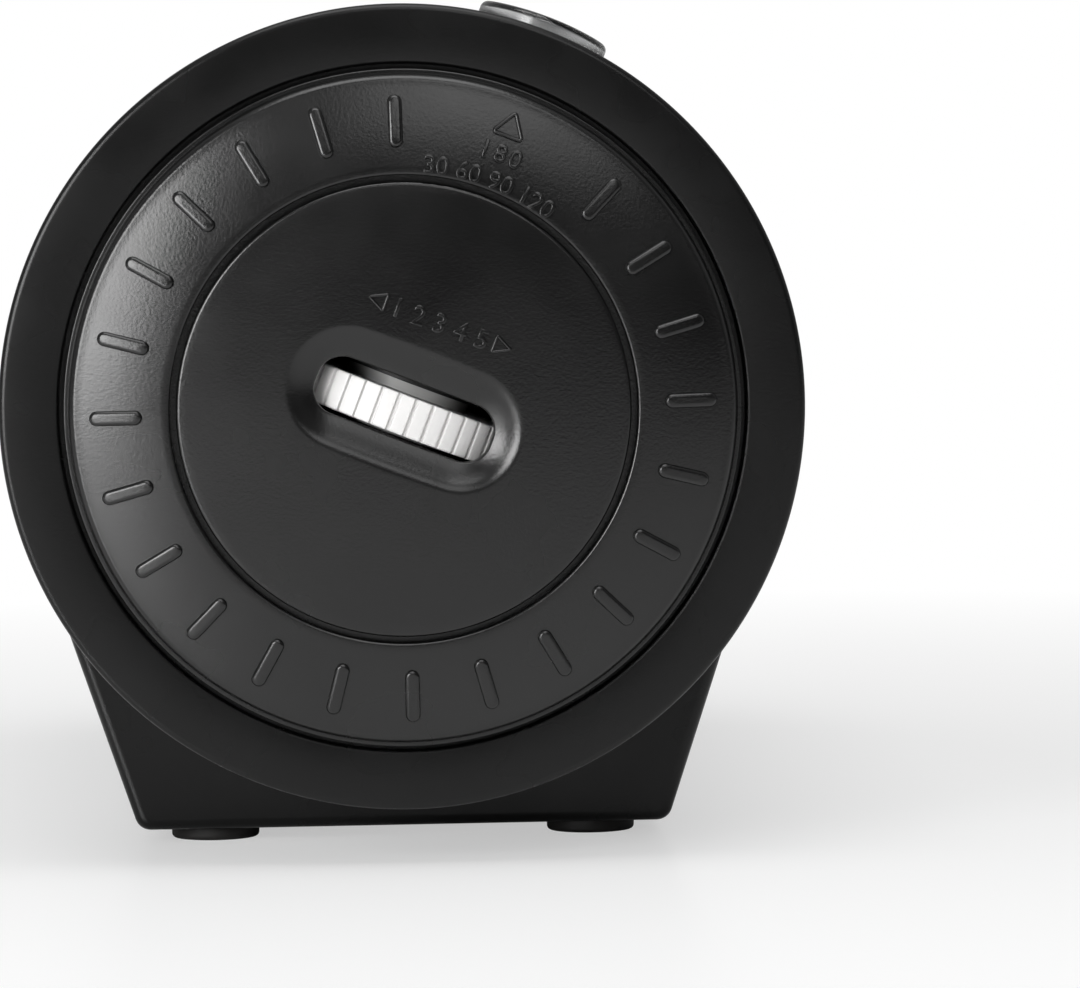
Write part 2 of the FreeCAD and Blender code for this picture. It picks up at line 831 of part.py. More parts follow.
slide_body = box(switch_x - slide_half_width, switch_x + slide_half_width, panel_inner - slide_depth,
                 panel_inner, board_top, board_top + slide_height)
slide_body = slide_body.cut(box(switch_x - slide_slot[0] / 2, switch_x + slide_slot[0] / 2,
                                panel_inner - slide_pocket, panel_inner,
                                slide_z - slide_slot[1] / 2, slide_z + slide_slot[1] / 2))
save("switch_body", slide_body)
knob_low = switch_x - slide_slot[0] / 2 + (slide_slot[0] - slide_knob[0] - slide_travel) / 2
save("switch_knob", box(knob_low, knob_low + slide_knob[0], panel_inner - slide_pocket + door_gap,
                        panel_y + slide_proud, slide_z - slide_knob[1] / 2, slide_z + slide_knob[1] / 2))

# Battery box
cell_z = floor_top + cell_lift + cell_radius
cells = []
for y in (-cell_pitch / 2, cell_pitch / 2):
    body_length = cell_length - cell_nub[1]
    cells.append(rod(cell_radius, body_length, V(-cell_length / 2, y, cell_z), ACROSS)
                 .fuse(rod(cell_nub[0], cell_nub[1], V(-cell_length / 2 + body_length, y, cell_z), ACROSS))
                 .removeSplitter())
save_group("backup_cells", cells)
contact_low = foot_height + tab_top + contact_door_gap
contacts = []
for y in (-cell_pitch / 2, cell_pitch / 2):
    for side in (-1, 1):
        wall_x = side * box_half
        plate = box(min(wall_x, wall_x - side * contact_thick), max(wall_x, wall_x - side * contact_thick),
                    y - contact_half, y + contact_half, contact_low, box_top - box_top_play)
        bump = Part.makeCone(contact_bump[0], contact_bump[1], box_play - contact_thick,
                             V(wall_x - side * contact_thick, y, cell_z), ACROSS * -side)
        contacts.append(plate.fuse(bump).removeSplitter())
save_group("battery_contacts", contacts)
door_half = box_half - door_gap
door_top = foot_height + door_thick
door = [box(-door_half, door_half, -box_y + door_gap, box_y - door_gap, foot_height, door_top)]
for y in (-tab_y, tab_y):
    door.append(box(door_half - tab_thick, door_half, y - tab_half, y + tab_half,
                    door_top - let_in, foot_height + tab_top))
    door.append(box(door_half - tab_thick, door_half + tab_reach, y - tab_half, y + tab_half,
                    foot_height + tab_under, foot_height + tab_top))
door.append(box(-door_half, -door_half + tab_thick, -latch_half, latch_half,
                door_top - let_in, foot_height + latch_top))
save("battery_door", joined(door))

# Drum cup, shared by the projector drum and the sounder drum, drawn on the X axis
front_plate_back = ring_face - ring_plate
step_back = ring_face - ring_step_depth
ledge_x = ring_face - ledge_depth
rim_mid = rim_round * (1 - math.sqrt(0.5))


def drum_cup():
    inner = drum_radius - drum_wall
    return lathe([
        (drum_back, hub_bore), (drum_back, drum_radius - rim_round),
        (drum_back + rim_mid, drum_radius - rim_mid, drum_back + rim_round, drum_radius),
        (ring_face - rim_round, drum_radius),
        (ring_face - rim_mid, drum_radius - rim_mid, ring_face, drum_radius - rim_round),
        (ring_face, ring_bore), (ledge_x, ring_bore), (ledge_x, ring_step_inner),
        (step_back, ring_step_inner), (step_back, ring_step_outer), (front_plate_back, ring_step_outer),
        (front_plate_back, inner),
        (drum_back + drum_back_wall, inner), (drum_back + drum_back_wall, hub_bore)])


bracket_face = drum_back + drum_back_wall
bracket_rows = [sum(guide_bracket) / 2, sum(lamp_bracket) / 2]
bracket_screws = [(y, z) for y in (-bracket_screw_y, bracket_screw_y) for z in bracket_rows]
driver_posts = [(driver_post_y, z) for z in (-driver_post_z, driver_post_z)]


def projector_drum():
    inside = inner_end - hub_fit
    hub = lathe([(inside - hub_flange_thick, hub_bore), (inside - hub_flange_thick, hub_flange_radius),
                 (inside, hub_flange_radius), (inside, hub_radius), (drum_back + let_in, hub_radius),
                 (drum_back + let_in, hub_bore)])
    lug = box(inside - hub_flange_thick, inside, -lug_half, lug_half, hub_flange_radius - 1, lug_reach)
    posts = [rod(driver_post_radius, driver_stand_off + let_in, V(bracket_face - let_in, y, z), ACROSS)
             for y, z in driver_posts]
    drum = joined([drum_cup(), hub, lug] + posts)
    cuts = [rod(window_radius + fit, 2 * drum_radius, V(optic_x, 0, drum_radius / 2), UP)]
    for y, z in bracket_screws:
        cuts.append(rod(small_screw_radius, wall_screw_reach + 2 * fit,
                        V(bracket_face - wall_screw_reach - 2 * fit, y, z), ACROSS))
    for y, z in driver_posts:
        cuts.append(rod(small_screw_radius, post_screw_reach,
                        V(bracket_face + driver_stand_off - post_screw_reach, y, z), ACROSS))
    return drum.cut(Part.makeCompound(cuts)).removeSplitter()


save("projector_drum", on_drum(projector_drum()))
washer = pipe(washer_outer, washer_inner, washer_thick, V(drum_back - washer_thick, 0, 0), ACROSS)
save("hub_washer", on_drum(washer))


# Dial cap with raised bars and marker
def cap_surface_x(radius):
    # The cap's front between its bore and its shoulder, as the straight line between the two
    share = (radius - cap_bore) / (cap_radius - cap_shoulder_round - cap_bore)
    bulge = 4 * cap_bulge * share * (1 - share)
    return ring_face + cap_inner_height + (cap_edge_height - cap_inner_height) * share + bulge


def turned_to(shape, angle):
    turned = shape.copy()
    turned.rotate(V(0, 0, 0), ACROSS, -angle)
    return turned


def raised(face_points, height):
    # A low solid with the given outline, raised along the drum's axis
    face = Part.Face(Part.makePolygon(face_points + face_points[:1]))
    return face.extrude(ACROSS * height)


def dial_bar():
    middle = (bar_inner + bar_outer) / 2
    fall = cap_surface_x(bar_inner) - cap_surface_x(bar_outer)
    slope = math.degrees(math.atan2(fall, bar_length))
    surface = cap_surface_x(middle)
    top = surface + bar_proud
    bar = rounded_prism(V(surface - let_in, 0, middle), BACK, UP, bar_width / 2, bar_length / 2,
                        bar_width / 2 - 0.01, ACROSS * (let_in + bar_proud))
    top_edges = [e for e in bar.Edges if e.BoundBox.XMin > top - 1e-6]
    bar = bar.makeChamfer(bar_bevel, top_edges)
    bar.rotate(V(surface, 0, middle), BACK, -slope)
    return bar


def triangle_line(corners, line, height):
    # A raised triangle drawn as a line: the inner edge keeps the line's width from each side
    sides = [corners[i - 2].distanceToPoint(corners[i - 1]) for i in range(3)]
    around = sum(sides)
    centre = (corners[0] * sides[0] + corners[1] * sides[1] + corners[2] * sides[2]) * (1 / around)
    area = (corners[1] - corners[0]).cross(corners[2] - corners[0]).Length / 2
    slim = 1 - line * around / (2 * area)
    hole = [centre + (corner - centre) * slim for corner in corners]
    return raised(corners, height).cut(raised(hole, height))


def marker():
    start = cap_surface_x(marker_outer) - let_in
    outline = [V(start, -marker_half_width, marker_inner), V(start, marker_half_width, marker_inner),
               V(start, 0, marker_outer)]
    return triangle_line(outline, marker_line, cap_surface_x(marker_inner) + marker_proud - start)


def dial_cap():
    spigot_outer = ring_step_inner - cap_spigot_fit
    spigot_inner = spigot_outer - cap_spigot_wall
    shoulder_x = ring_face + cap_shoulder_height
    edge_x = ring_face + cap_edge_height
    edge_r = cap_radius - cap_shoulder_round
    plate = ring_face + cap_plate_height
    ledge = ring_face + cap_ledge_height
    middle_r = (cap_bore + edge_r) / 2
    front = lathe([
        (ledge, cap_bore), (ring_face + cap_inner_height, cap_bore),
        (cap_surface_x(middle_r), middle_r, edge_x, edge_r),
        (edge_x - (edge_x - shoulder_x) * shoulder_bend,
         cap_radius - cap_shoulder_round * shoulder_bend, shoulder_x, cap_radius),
        (ledge_x, cap_radius), (ledge_x, spigot_outer), (ring_face - cap_spigot_reach, spigot_outer),
        (ring_face - cap_spigot_reach, spigot_inner), (plate, spigot_inner), (plate, cap_ledge_bore),
        (ledge, cap_ledge_bore)])
    bars = [turned_to(dial_bar(), bar_pitch * (i + 0.5)) for i in range(1, bar_count - 1)]
    return joined([front, marker()] + bars)


save("dial_cap", on_drum(dial_cap()))


def recess_tool():
    # A finger-shaped dish: a rod with ball ends, sunk into the cover to the recess's depth
    half_width = recess_width / 2
    radius = (half_width**2 + recess_depth**2) / (2 * recess_depth)
    centre_x = ring_face + cover_apex_height - recess_depth + radius
    half_run = (recess_length - recess_width) / 2
    return joined([rod(radius, 2 * half_run, V(centre_x, -half_run, 0), BACK),
                   Part.makeSphere(radius, V(centre_x, -half_run, 0)),
                   Part.makeSphere(radius, V(centre_x, half_run, 0))])


def focus_arrow(side):
    # One arrowhead on the cover, which points away from the middle of the focus scale
    foot = arrow_shift + side * (arrow_tip - arrow_length)
    start = ring_face + cover_edge_height
    surface = ring_face + cover_apex_height - dome_drop(cover_apex_height - cover_edge_height, cover_radius)
    corners = [V(start, arrow_shift + side * arrow_tip, arrow_up),
               V(start, foot, arrow_up + arrow_half_height), V(start, foot, arrow_up - arrow_half_height)]
    return triangle_line(corners, arrow_line, surface + arrow_proud - start)


def centre_cover():
    edge_x = ring_face + cover_edge_height
    apex_x = ring_face + cover_apex_height
    under = edge_x - cover_plate
    rim_inner = cover_radius - cover_rim
    ledge = ring_face + cap_ledge_height
    spigot_outer = cap_ledge_bore - fit
    dome_r = cover_radius - cover_edge_round
    dome = lathe([
        (under, 0), (apex_x, 0), (apex_x - dome_drop(apex_x - edge_x, dome_r), dome_r / 2, edge_x, dome_r),
        (edge_x - cover_edge_round, cover_radius), (ledge, cover_radius), (ledge, spigot_outer),
        (ledge - cover_spigot_reach, spigot_outer),
        (ledge - cover_spigot_reach, spigot_outer - cover_spigot_wall),
        (under, rim_inner - let_in)])
    boss_back = apex_x - recess_depth - recess_wall
    boss = rounded_prism(V(boss_back, 0, 0), BACK, UP, recess_length / 2 + recess_wall,
                         recess_width / 2 + recess_wall, recess_width / 2 + recess_wall - 0.01,
                         ACROSS * (under - boss_back + let_in))
    cover = joined([dome, boss, focus_arrow(-1), focus_arrow(1)]).cut(recess_tool())
    slot = rounded_prism(V(ring_face - 2, 0, 0), BACK, UP, slot_length / 2, slot_width / 2, slot_corner,
                         ACROSS * (cover_apex_height + 4))
    return cover.cut(slot).removeSplitter()


save("centre_cover", on_drum(centre_cover()))


# Focus wheel: a ribbed rim and a plain hub that turn about the lens axis
wheel_low = -wheel_width / 2 - wheel_drop
hub_low = wheel_low - wheel_hub_low
hub_high = wheel_width / 2 + wheel_hub_high


def focus_wheel():
    foot_radius_here = wheel_radius - rib_height
    points = []
    for i in range(rib_count):
        turn = 2 * math.pi * i / rib_count
        for radius, offset in ((foot_radius_here, -rib_foot / 2), (wheel_radius, -rib_top / 2),
                               (wheel_radius, rib_top / 2), (foot_radius_here, rib_foot / 2)):
            at = turn + offset / radius
            points.append(V(optic_x + radius * math.cos(at), radius * math.sin(at), wheel_low))
    rim = Part.Face(Part.makePolygon(points + points[:1])).extrude(UP * wheel_width)
    hub = rod(wheel_hub_radius, hub_high - hub_low, V(optic_x, 0, hub_low), UP)
    bore = rod(tube_radius + run_fit, 4 * wheel_width, V(optic_x, 0, -2 * wheel_width), UP)
    return joined([rim, hub]).cut(bore)


save("focus_wheel", on_drum(focus_wheel()))

lens_base = V(optic_x, 0, 0)


def lens_tube():
    body = rod(tube_radius, tube_high - tube_low, lens_base + UP * tube_low, UP)
    key = box(optic_x - tube_radius - tube_key_proud, optic_x - tube_radius + let_in, -tube_key_half,
              tube_key_half, tube_key[0], tube_key[1])
    cuts = [rod(tube_bore, tube_high - tube_low, lens_base + UP * tube_low, UP),
            rod(tube_seat_radius, tube_seat, lens_base + UP * (tube_high - tube_seat), UP)]
    return joined([body, key]).cut(Part.makeCompound(cuts))


def biconvex(radius, edge, bulge, low):
    drop = dome_drop(bulge, radius)
    return lathe([(0, 0), (drop, radius / 2, bulge, radius), (bulge + edge, radius),
                  (2 * bulge + edge - drop, radius / 2, 2 * bulge + edge, 0)],
                 lens_base + UP * low, UP, BACK)


save("lens_tube", on_drum(lens_tube()))
save_group("lens_elements", [on_drum(biconvex(tube_seat_radius, 1.0, 0.7, tube_high - tube_seat)),
                             on_drum(biconvex(tube_bore, 1.0, 0.6, tube_low + 2.0))])


# A bracket plate on the drum's back wall with a web that reaches the optics
def bracket(z_range, web_end):
    plate = box(bracket_face, bracket_face + bracket_plate, -bracket_half_width, bracket_half_width,
                z_range[0], z_range[1])
    web = box(bracket_face + bracket_plate - let_in, web_end, -bracket_web_half, bracket_web_half,
              z_range[0], z_range[1])
    return [plate, web]


def bracket_holes(z_range):
    middle = sum(z_range) / 2
    return [rod(small_screw_radius, 2 * bracket_plate, V(bracket_face, y, middle), ACROSS)
            for y in (-bracket_screw_y, bracket_screw_y)]


def lens_guide():
    tube = rod(guide_radius, guide_high - guide_low, lens_base + UP * guide_low, UP)
    cuts = [rod(tube_radius + run_fit, guide_high, lens_base, UP),
            rod(wheel_hub_radius + run_fit, hub_high + fit - guide_low + past,
                lens_base + UP * (guide_low - past), UP),
            box(optic_x - tube_radius - tube_key_proud - fit, optic_x, -tube_key_half - run_fit,
                tube_key_half + run_fit, tube_key[0] - focus_travel - fit, guide_high + 1)]
    return joined([tube] + bracket(guide_bracket, optic_x - guide_radius + 1)).cut(
        Part.makeCompound(cuts + bracket_holes(guide_bracket)))


def lamp_housing():
    top = hub_low - fit
    tube = rod(lamp_radius, top - lamp_low, lens_base + UP * lamp_low, UP)
    cuts = [rod(tube_radius + run_fit, 20, lens_base + UP * tile_seat, UP),
            rod(lamp_throat, 20, lens_base + UP * (lamp_seat - 1), UP),
            rod(lamp_bore, lamp_seat - lamp_low, lens_base + UP * lamp_low, UP)]
    return joined([tube] + bracket(lamp_bracket, optic_x - lamp_radius + 1)).cut(
        Part.makeCompound(cuts + bracket_holes(lamp_bracket)))


save("lens_guide", on_drum(lens_guide()))
save("lamp_housing", on_drum(lamp_housing()))
save("crystal_tile", on_drum(box(optic_x - tile_half, optic_x + tile_half, -tile_half, tile_half,
                                 tile_seat, tile_seat + tile_thick)))
condenser = lathe([(0, 0), (dome_drop(condenser_dome, lamp_bore), lamp_bore / 2, condenser_dome, lamp_bore),
                   (condenser_thick, lamp_bore), (condenser_thick, 0)],
                  lens_base + UP * (lamp_seat - condenser_thick), UP, BACK)
save("condenser_lens", on_drum(condenser))
lamp_board_top = lamp_low
lamp_board_x = optic_x - lamp_board_shift
lamp_board = box(lamp_board_x - lamp_board_half[0], lamp_board_x + lamp_board_half[0], -lamp_board_half[1],
                 lamp_board_half[1], lamp_board_top - board_thick, lamp_board_top)
save("lamp_board", on_drum(lamp_board))
slant = math.sqrt(0.5)
lamp_top = lamp_base + lamp_base_radius
lamp = lathe([(0, 0), (0, lamp_base_radius), (lamp_base, lamp_base_radius),
              (lamp_base + lamp_base_radius * slant, lamp_base_radius * slant, lamp_top, 0)],
             lens_base + UP * lamp_board_top, UP, BACK)
save("projector_lamp", on_drum(lamp))
bracket_screw_end = bracket_face - wall_screw_reach
save_group("bracket_screws", [on_drum(small_screw(V(bracket_face + bracket_plate, y, z), -ACROSS)
                                      .common(box(bracket_screw_end, far, -far, far, -far, far)))
                              for y, z in bracket_screws])


def lens_window():
    # A clear disc through the drum's wall, with ears under the wall on three sides
    inner = drum_radius - drum_wall
    disc = rod(window_radius, drum_radius, lens_base + UP * (drum_radius / 2), UP)
    disc = disc.common(rod(drum_radius + window_proud, 2 * far, V(-far, 0, 0), ACROSS))
    disc = disc.cut(rod(inner - window_ear_thick, 2 * far, V(-far, 0, 0), ACROSS))
    ear_half = window_radius + window_ear
    ear = box(optic_x - ear_half, front_plate_back - door_gap, -ear_half, ear_half, 0, drum_radius)
    ear = ear.common(rod(inner, 2 * far, V(-far, 0, 0), ACROSS))
    ear = ear.cut(rod(inner - window_ear_thick, 2 * far, V(-far, 0, 0), ACROSS))
    return joined([disc, ear])


save("lens_window", on_drum(lens_window()))

# Projector driver board on its posts
driver_x = bracket_face + driver_stand_off
driver = box(driver_x, driver_x + driver_board, driver_y[0], driver_y[1], -driver_half, driver_half)
driver = driver.cut(Part.makeCompound([rod(small_screw_radius, driver_board, V(driver_x, y, z), ACROSS)
                                       for y, z in driver_posts]))
save("driver_board", on_drum(driver))
driver_top = driver_x + driver_board
plug = box(driver_top, driver_top + plug_size[0], driver_y[0], driver_y[0] + plug_size[1],
           plug_z - plug_size[2] / 2, plug_z + plug_size[2] / 2)
chip_low = driver_y[0] + driver_chip_gap
chip = box(driver_top, driver_top + driver_chip[0], chip_low, chip_low + driver_chip[1],
           -driver_chip[2], driver_chip[2])
save_group("driver_parts", [on_drum(plug), on_drum(chip)])
driver_screw_end = bracket_face + driver_stand_off - post_screw_reach
save_group("driver_screws", [on_drum(small_screw(V(driver_top, y, z), -ACROSS)
                                     .common(box(driver_screw_end, far, -far, far, -far, far)))
                             for y, z in driver_posts])

# Leads: the projector lead meets its turning stretch on the drum axis
plug_mid = driver_top + plug_size[0] / 2
turning_lead = bent_tube([V(lead_meet_x, 0, 0), V(lead_meet_x + lead_rise[0], 0, 0),
                          V(plug_mid, lead_rise[1], plug_z), V(plug_mid, driver_y[0], plug_z)],
                         lead_bends, lead_radius)
save("lead_turning", on_drum(turning_lead))
connector_top = board_top + connector_size[2]
fixed_lead = bent_tube([V(connector_x, 0, connector_top), V(connector_x, 0, axis_height),
                        V(lead_meet_x, 0, axis_height)], [lead_bend], lead_radius)
save("lead_fixed", fixed_lead)


# Sounder drum on the other end, a mirror image of the drum cup
def mirrored(shape):
    return on_axis(shape.mirror(V(0, 0, 0), ACROSS))


boss_ring = pipe(sounder_boss[1], sounder_boss[0], drum_gap + let_in, V(body_half, 0, 0), ACROSS)
screw_bores = []
for angle in sounder_screw_angles:
    place = sounder_screw_place(angle, body_half)
    screw_bores.append(rod(small_screw_radius, drum_back_wall, place - axis_point, ACROSS))
sounder_drum = joined([drum_cup(), boss_ring]).cut(Part.makeCompound(screw_bores))
save("sounder_drum", mirrored(sounder_drum))
save_group("sounder_screws", [small_screw(sounder_screw_place(a, -inner_end), -ACROSS)
                              .common(box(-body_half - drum_back_wall + fit, far, -far, far, -far, far))
                              for a in sounder_screw_angles])


def sounder_grille():
    spigot_outer = ring_step_inner - cap_spigot_fit
    spigot_inner = spigot_outer - cap_spigot_wall
    shoulder_x = ring_face + cap_shoulder_height
    edge_x = ring_face + cap_edge_height
    edge_r = cap_radius - cap_shoulder_round
    apex_x = ring_face + grille_centre_height
    plate = ring_face + grille_plate_height
    dome = lathe([
        (plate, 0), (apex_x, 0), (apex_x - dome_drop(apex_x - edge_x, edge_r), edge_r / 2, edge_x, edge_r),
        (edge_x - (edge_x - shoulder_x) * shoulder_bend,
         cap_radius - cap_shoulder_round * shoulder_bend, shoulder_x, cap_radius),
        (ledge_x, cap_radius), (ledge_x, spigot_outer), (ring_face - cap_spigot_reach, spigot_outer),
        (ring_face - cap_spigot_reach, spigot_inner), (plate, spigot_inner)])
    locator = pipe(sounder_radius + fit + locator_wall, sounder_radius + fit, locator_height + let_in,
                   V(plate - locator_height, 0, 0), ACROSS)
    holes = []
    for ring in range(grille_rings):
        count = max(1, 6 * ring)
        for i in range(count):
            turn = 2 * math.pi * i / count
            out = ring * grille_pitch
            holes.append(rod(grille_hole_radius, 2 * grille_centre_height,
                             V(plate - past, out * math.cos(turn), out * math.sin(turn)), ACROSS))
    return joined([dome, locator]).cut(Part.makeCompound(holes))


save("sounder_grille", mirrored(sounder_grille()))
grille_under = ring_face + grille_plate_height
basket_back = grille_under - sounder_depth
frame = lathe([
    (grille_under, sounder_radius), (grille_under - grille_seat, sounder_radius),
    (basket_back + sounder_wall, magnet_radius + 1), (basket_back, magnet_radius + 1),
    (basket_back, magnet_radius - 2), (basket_back + sounder_wall, magnet_radius - 2),
    (grille_under - grille_seat - sounder_wall / 2, sounder_radius - surround),
    (grille_under, sounder_radius - surround)])
save("sounder_frame", mirrored(frame))
cone_edge = grille_under - 0.8
dust_top = cone_edge - cone_drop + dust_rise + 0.6
cone = lathe([
    (cone_edge, sounder_radius - surround), (cone_edge - 0.5, sounder_radius - surround),
    (cone_edge - cone_drop, dust_radius), (cone_edge - cone_drop, 0), (dust_top, 0),
    (dust_top - dome_drop(dust_rise, dust_radius), dust_radius / 2, dust_top - dust_rise, dust_radius)])
save("sounder_cone", mirrored(cone))
magnet = rod(magnet_radius, magnet_depth, V(basket_back - magnet_depth, 0, 0), ACROSS)
save("sounder_magnet", mirrored(magnet))
sounder_lead = bent_tube([V(-connector_x, 0, connector_top), V(-connector_x, 0, axis_height),
                          V(-basket_back + magnet_depth, 0, axis_height)], [lead_bend], lead_radius)
save("sounder_lead", sounder_lead)
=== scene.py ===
# Projection alarm clock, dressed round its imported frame
import json
import math

import bmesh
import bpy
import numpy as np
from mathutils import Euler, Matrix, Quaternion, Vector


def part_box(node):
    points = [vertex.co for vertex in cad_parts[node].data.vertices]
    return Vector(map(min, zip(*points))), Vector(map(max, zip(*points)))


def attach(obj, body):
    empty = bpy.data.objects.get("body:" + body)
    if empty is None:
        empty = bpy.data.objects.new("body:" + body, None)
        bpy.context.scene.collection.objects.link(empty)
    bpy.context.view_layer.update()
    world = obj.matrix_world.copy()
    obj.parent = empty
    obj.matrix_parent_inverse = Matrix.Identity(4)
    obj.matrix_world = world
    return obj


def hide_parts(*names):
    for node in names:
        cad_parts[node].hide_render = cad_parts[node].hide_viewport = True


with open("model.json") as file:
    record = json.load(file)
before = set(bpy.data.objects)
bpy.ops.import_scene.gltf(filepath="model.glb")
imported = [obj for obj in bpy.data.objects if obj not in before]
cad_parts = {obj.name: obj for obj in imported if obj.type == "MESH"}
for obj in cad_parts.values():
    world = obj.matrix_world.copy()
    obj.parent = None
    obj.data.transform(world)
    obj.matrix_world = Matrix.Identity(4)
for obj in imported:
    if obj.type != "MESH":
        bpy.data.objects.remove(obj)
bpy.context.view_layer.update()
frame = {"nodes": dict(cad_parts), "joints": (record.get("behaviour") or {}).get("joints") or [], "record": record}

# Sizes are in millimetres in every dictionary here, and meshes are put in as metres
metre = 1000.0
nodes = frame["nodes"]
joints = {joint["name"]: joint for joint in frame["joints"]}


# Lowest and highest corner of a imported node, in millimetres
def nodeBox(node):
    low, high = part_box(node)
    return np.array(low) * metre, np.array(high) * metre


# Places that every piece shares, read from the frame
drumLow, drumHigh = nodeBox("projector_drum")
washerLow, washerHigh = nodeBox("hub_washer")
wheelLow, wheelHigh = nodeBox("focus_wheel")
ringFace = drumHigh[0]                              # plane of the drum's flat ring
drumBack = washerHigh[0]                            # back of the drum, against the washer
axisHeight = (washerLow[2] + washerHigh[2]) / 2     # height of the drum's axis
drumRadius = nodeBox("lower_shell")[1][1]           # the drum is as wide as the barrel
lensWay = np.array(joints["focus_turn"]["axis"], float)
lensTilt = math.atan2(lensWay[1], lensWay[2])       # how far the lens leans back from upright
opticX = (wheelLow[0] + wheelHigh[0]) / 2           # place of the lens axis along the drum
print("frame read: ring face", round(ringFace, 2), "axis height", round(axisHeight, 2))


# Points drawn about the drum's axis with the lens pointing up, leaned back and lifted to the axis
def onDrum(x, y, z):
    cosTilt, sinTilt = math.cos(lensTilt), math.sin(lensTilt)
    across, up = y * cosTilt + z * sinTilt, axisHeight - y * sinTilt + z * cosTilt
    return np.stack(np.broadcast_arrays(x, across, up), -1)


# Points of a grid of rings become quads; each ring is closed, and the rings may close on the first
def gridFaces(rings, around, closed):
    i = np.arange(rings if closed else rings - 1)[:, None]
    j = np.arange(around)[None, :]
    nextI, nextJ = (i + 1) % rings, (j + 1) % around
    corners = [i * around + j, i * around + nextJ, nextI * around + nextJ, nextI * around + j]
    return np.stack(np.broadcast_arrays(*corners), -1).reshape(-1, 4)


# Several grids go into one piece: doubles are merged, and every face points outwards
def putPiece(name, grids, closed, body, material, sharp=38.0):
    points, faces, start = [], [], 0
    for grid in grids:
        rings, around = grid.shape[:2]
        points.append(grid.reshape(-1, 3) / metre)
        faces.append(gridFaces(rings, around, closed) + start)
        start += rings * around
    mesh = bpy.data.meshes.new(name)
    mesh.from_pydata(np.concatenate(points).tolist(), [], np.concatenate(faces).tolist())
    return finishPiece(name, mesh, body, material, sharp)


# Merges doubles, drops faces without area and turns every face outwards
def cleanMesh(mesh, merge=2e-7):
    work = bmesh.new()
    work.from_mesh(mesh)
    bmesh.ops.remove_doubles(work, verts=work.verts, dist=merge)
    bmesh.ops.dissolve_degenerate(work, edges=work.edges, dist=merge)
    bmesh.ops.recalc_face_normals(work, faces=work.faces)
    work.to_mesh(mesh)
    work.free()


# Smooth shading with sharp edges past an angle in degrees, and the body that the piece moves with
def finishPiece(name, mesh, body, material, sharp):
    cleanMesh(mesh)
    mesh.shade_smooth()
    mesh.set_sharp_from_angle(angle=math.radians(sharp))
    piece = bpy.data.objects.new(name, mesh)
    bpy.context.scene.collection.objects.link(piece)
    mesh.materials.append(material)
    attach(piece, body)
    return piece


# A path of corners (u, v, radius) with each corner turned into an arc of that radius
def roundedPath(corners, steps=7, loop=False):
    places = np.array([corner[:2] for corner in corners], float)
    path = []
    for k, (u, v, radius) in enumerate(corners):
        inner = loop or 0 < k < len(corners) - 1
        if radius <= 0 or not inner:
            path.append([[u, v]])
            continue
        back = places[k - 1] - places[k]
        ahead = places[(k + 1) % len(corners)] - places[k]
        back, ahead = back / np.linalg.norm(back), ahead / np.linalg.norm(ahead)
        halfTurn = math.acos(np.clip(back @ ahead, -1, 1)) / 2
        middle = back + ahead
        centre = places[k] + middle / np.linalg.norm(middle) * radius / math.sin(halfTurn)
        first = places[k] + back * radius / math.tan(halfTurn) - centre
        last = places[k] + ahead * radius / math.tan(halfTurn) - centre
        sweep = math.pi - 2 * halfTurn
        share = np.linspace(0, 1, steps)[:, None]
        fromFirst, fromLast = np.sin((1 - share) * sweep), np.sin(share * sweep)
        path.append(centre + (fromFirst * first + fromLast * last) / math.sin(sweep))
    return np.concatenate(path)


# A profile of (x, radius) carried round the drum's axis
def latheGrid(profile, around=360, mirror=1.0):
    turn = np.linspace(0, 2 * math.pi, around, endpoint=False)[None, :]
    x, radius = profile[:, 0][:, None] * mirror, profile[:, 1][:, None]
    return np.stack(np.broadcast_arrays(x, radius * np.sin(turn), axisHeight + radius * np.cos(turn)), -1)


# Outline of a rounded rectangle about the origin: four quarter arcs, their ends joined by straight runs
def roundedOutline(halfA, halfB, corner, arcSteps=12, runSteps=6):
    corner = min(max(corner, 0.01), halfA, halfB)
    arc = np.linspace(0, math.pi / 2, arcSteps)
    parts = []
    for quarter, (signA, signB) in enumerate(((1, 1), (-1, 1), (-1, -1), (1, -1))):
        turn = arc + quarter * math.pi / 2
        centre = np.array([signA * (halfA - corner), signB * (halfB - corner)])
        parts.append(centre + corner * np.stack([np.cos(turn), np.sin(turn)], -1))
    outline = []
    for quarter in range(4):
        run = np.linspace(0, 1, runSteps + 1)[1:-1, None]
        ahead = parts[(quarter + 1) % 4][0]
        outline += [parts[quarter], parts[quarter][-1] * (1 - run) + ahead * run]
    return np.concatenate(outline)


# A low block with a rounded top edge, as rings of (a, b, height): the wall goes up the outline, turns
# over on a quarter arc, and the top's rings shrink to the middle; the bottom closes the same way
def padGrid(halfA, halfB, corner, height, depth, edge, topRings=6, arcSteps=12):
    rings = [(0.0, -depth, share) for share in (0.0, 0.5, 1.0)]
    rings += [(0.0, height - edge, 1.0)]
    rings += [(edge * (1 - math.cos(t)), height - edge + edge * math.sin(t), 1.0)
              for t in np.linspace(0, math.pi / 2, 6)[1:]]
    rings += [(edge, height, share) for share in np.linspace(1, 0, topRings + 1)[1:]]
    layers = []
    for inset, level, share in rings:
        outline = roundedOutline(halfA - inset, halfB - inset, corner - inset, arcSteps) * share
        layers.append(np.column_stack([outline, np.full(len(outline), level)]))
    return np.stack(layers)


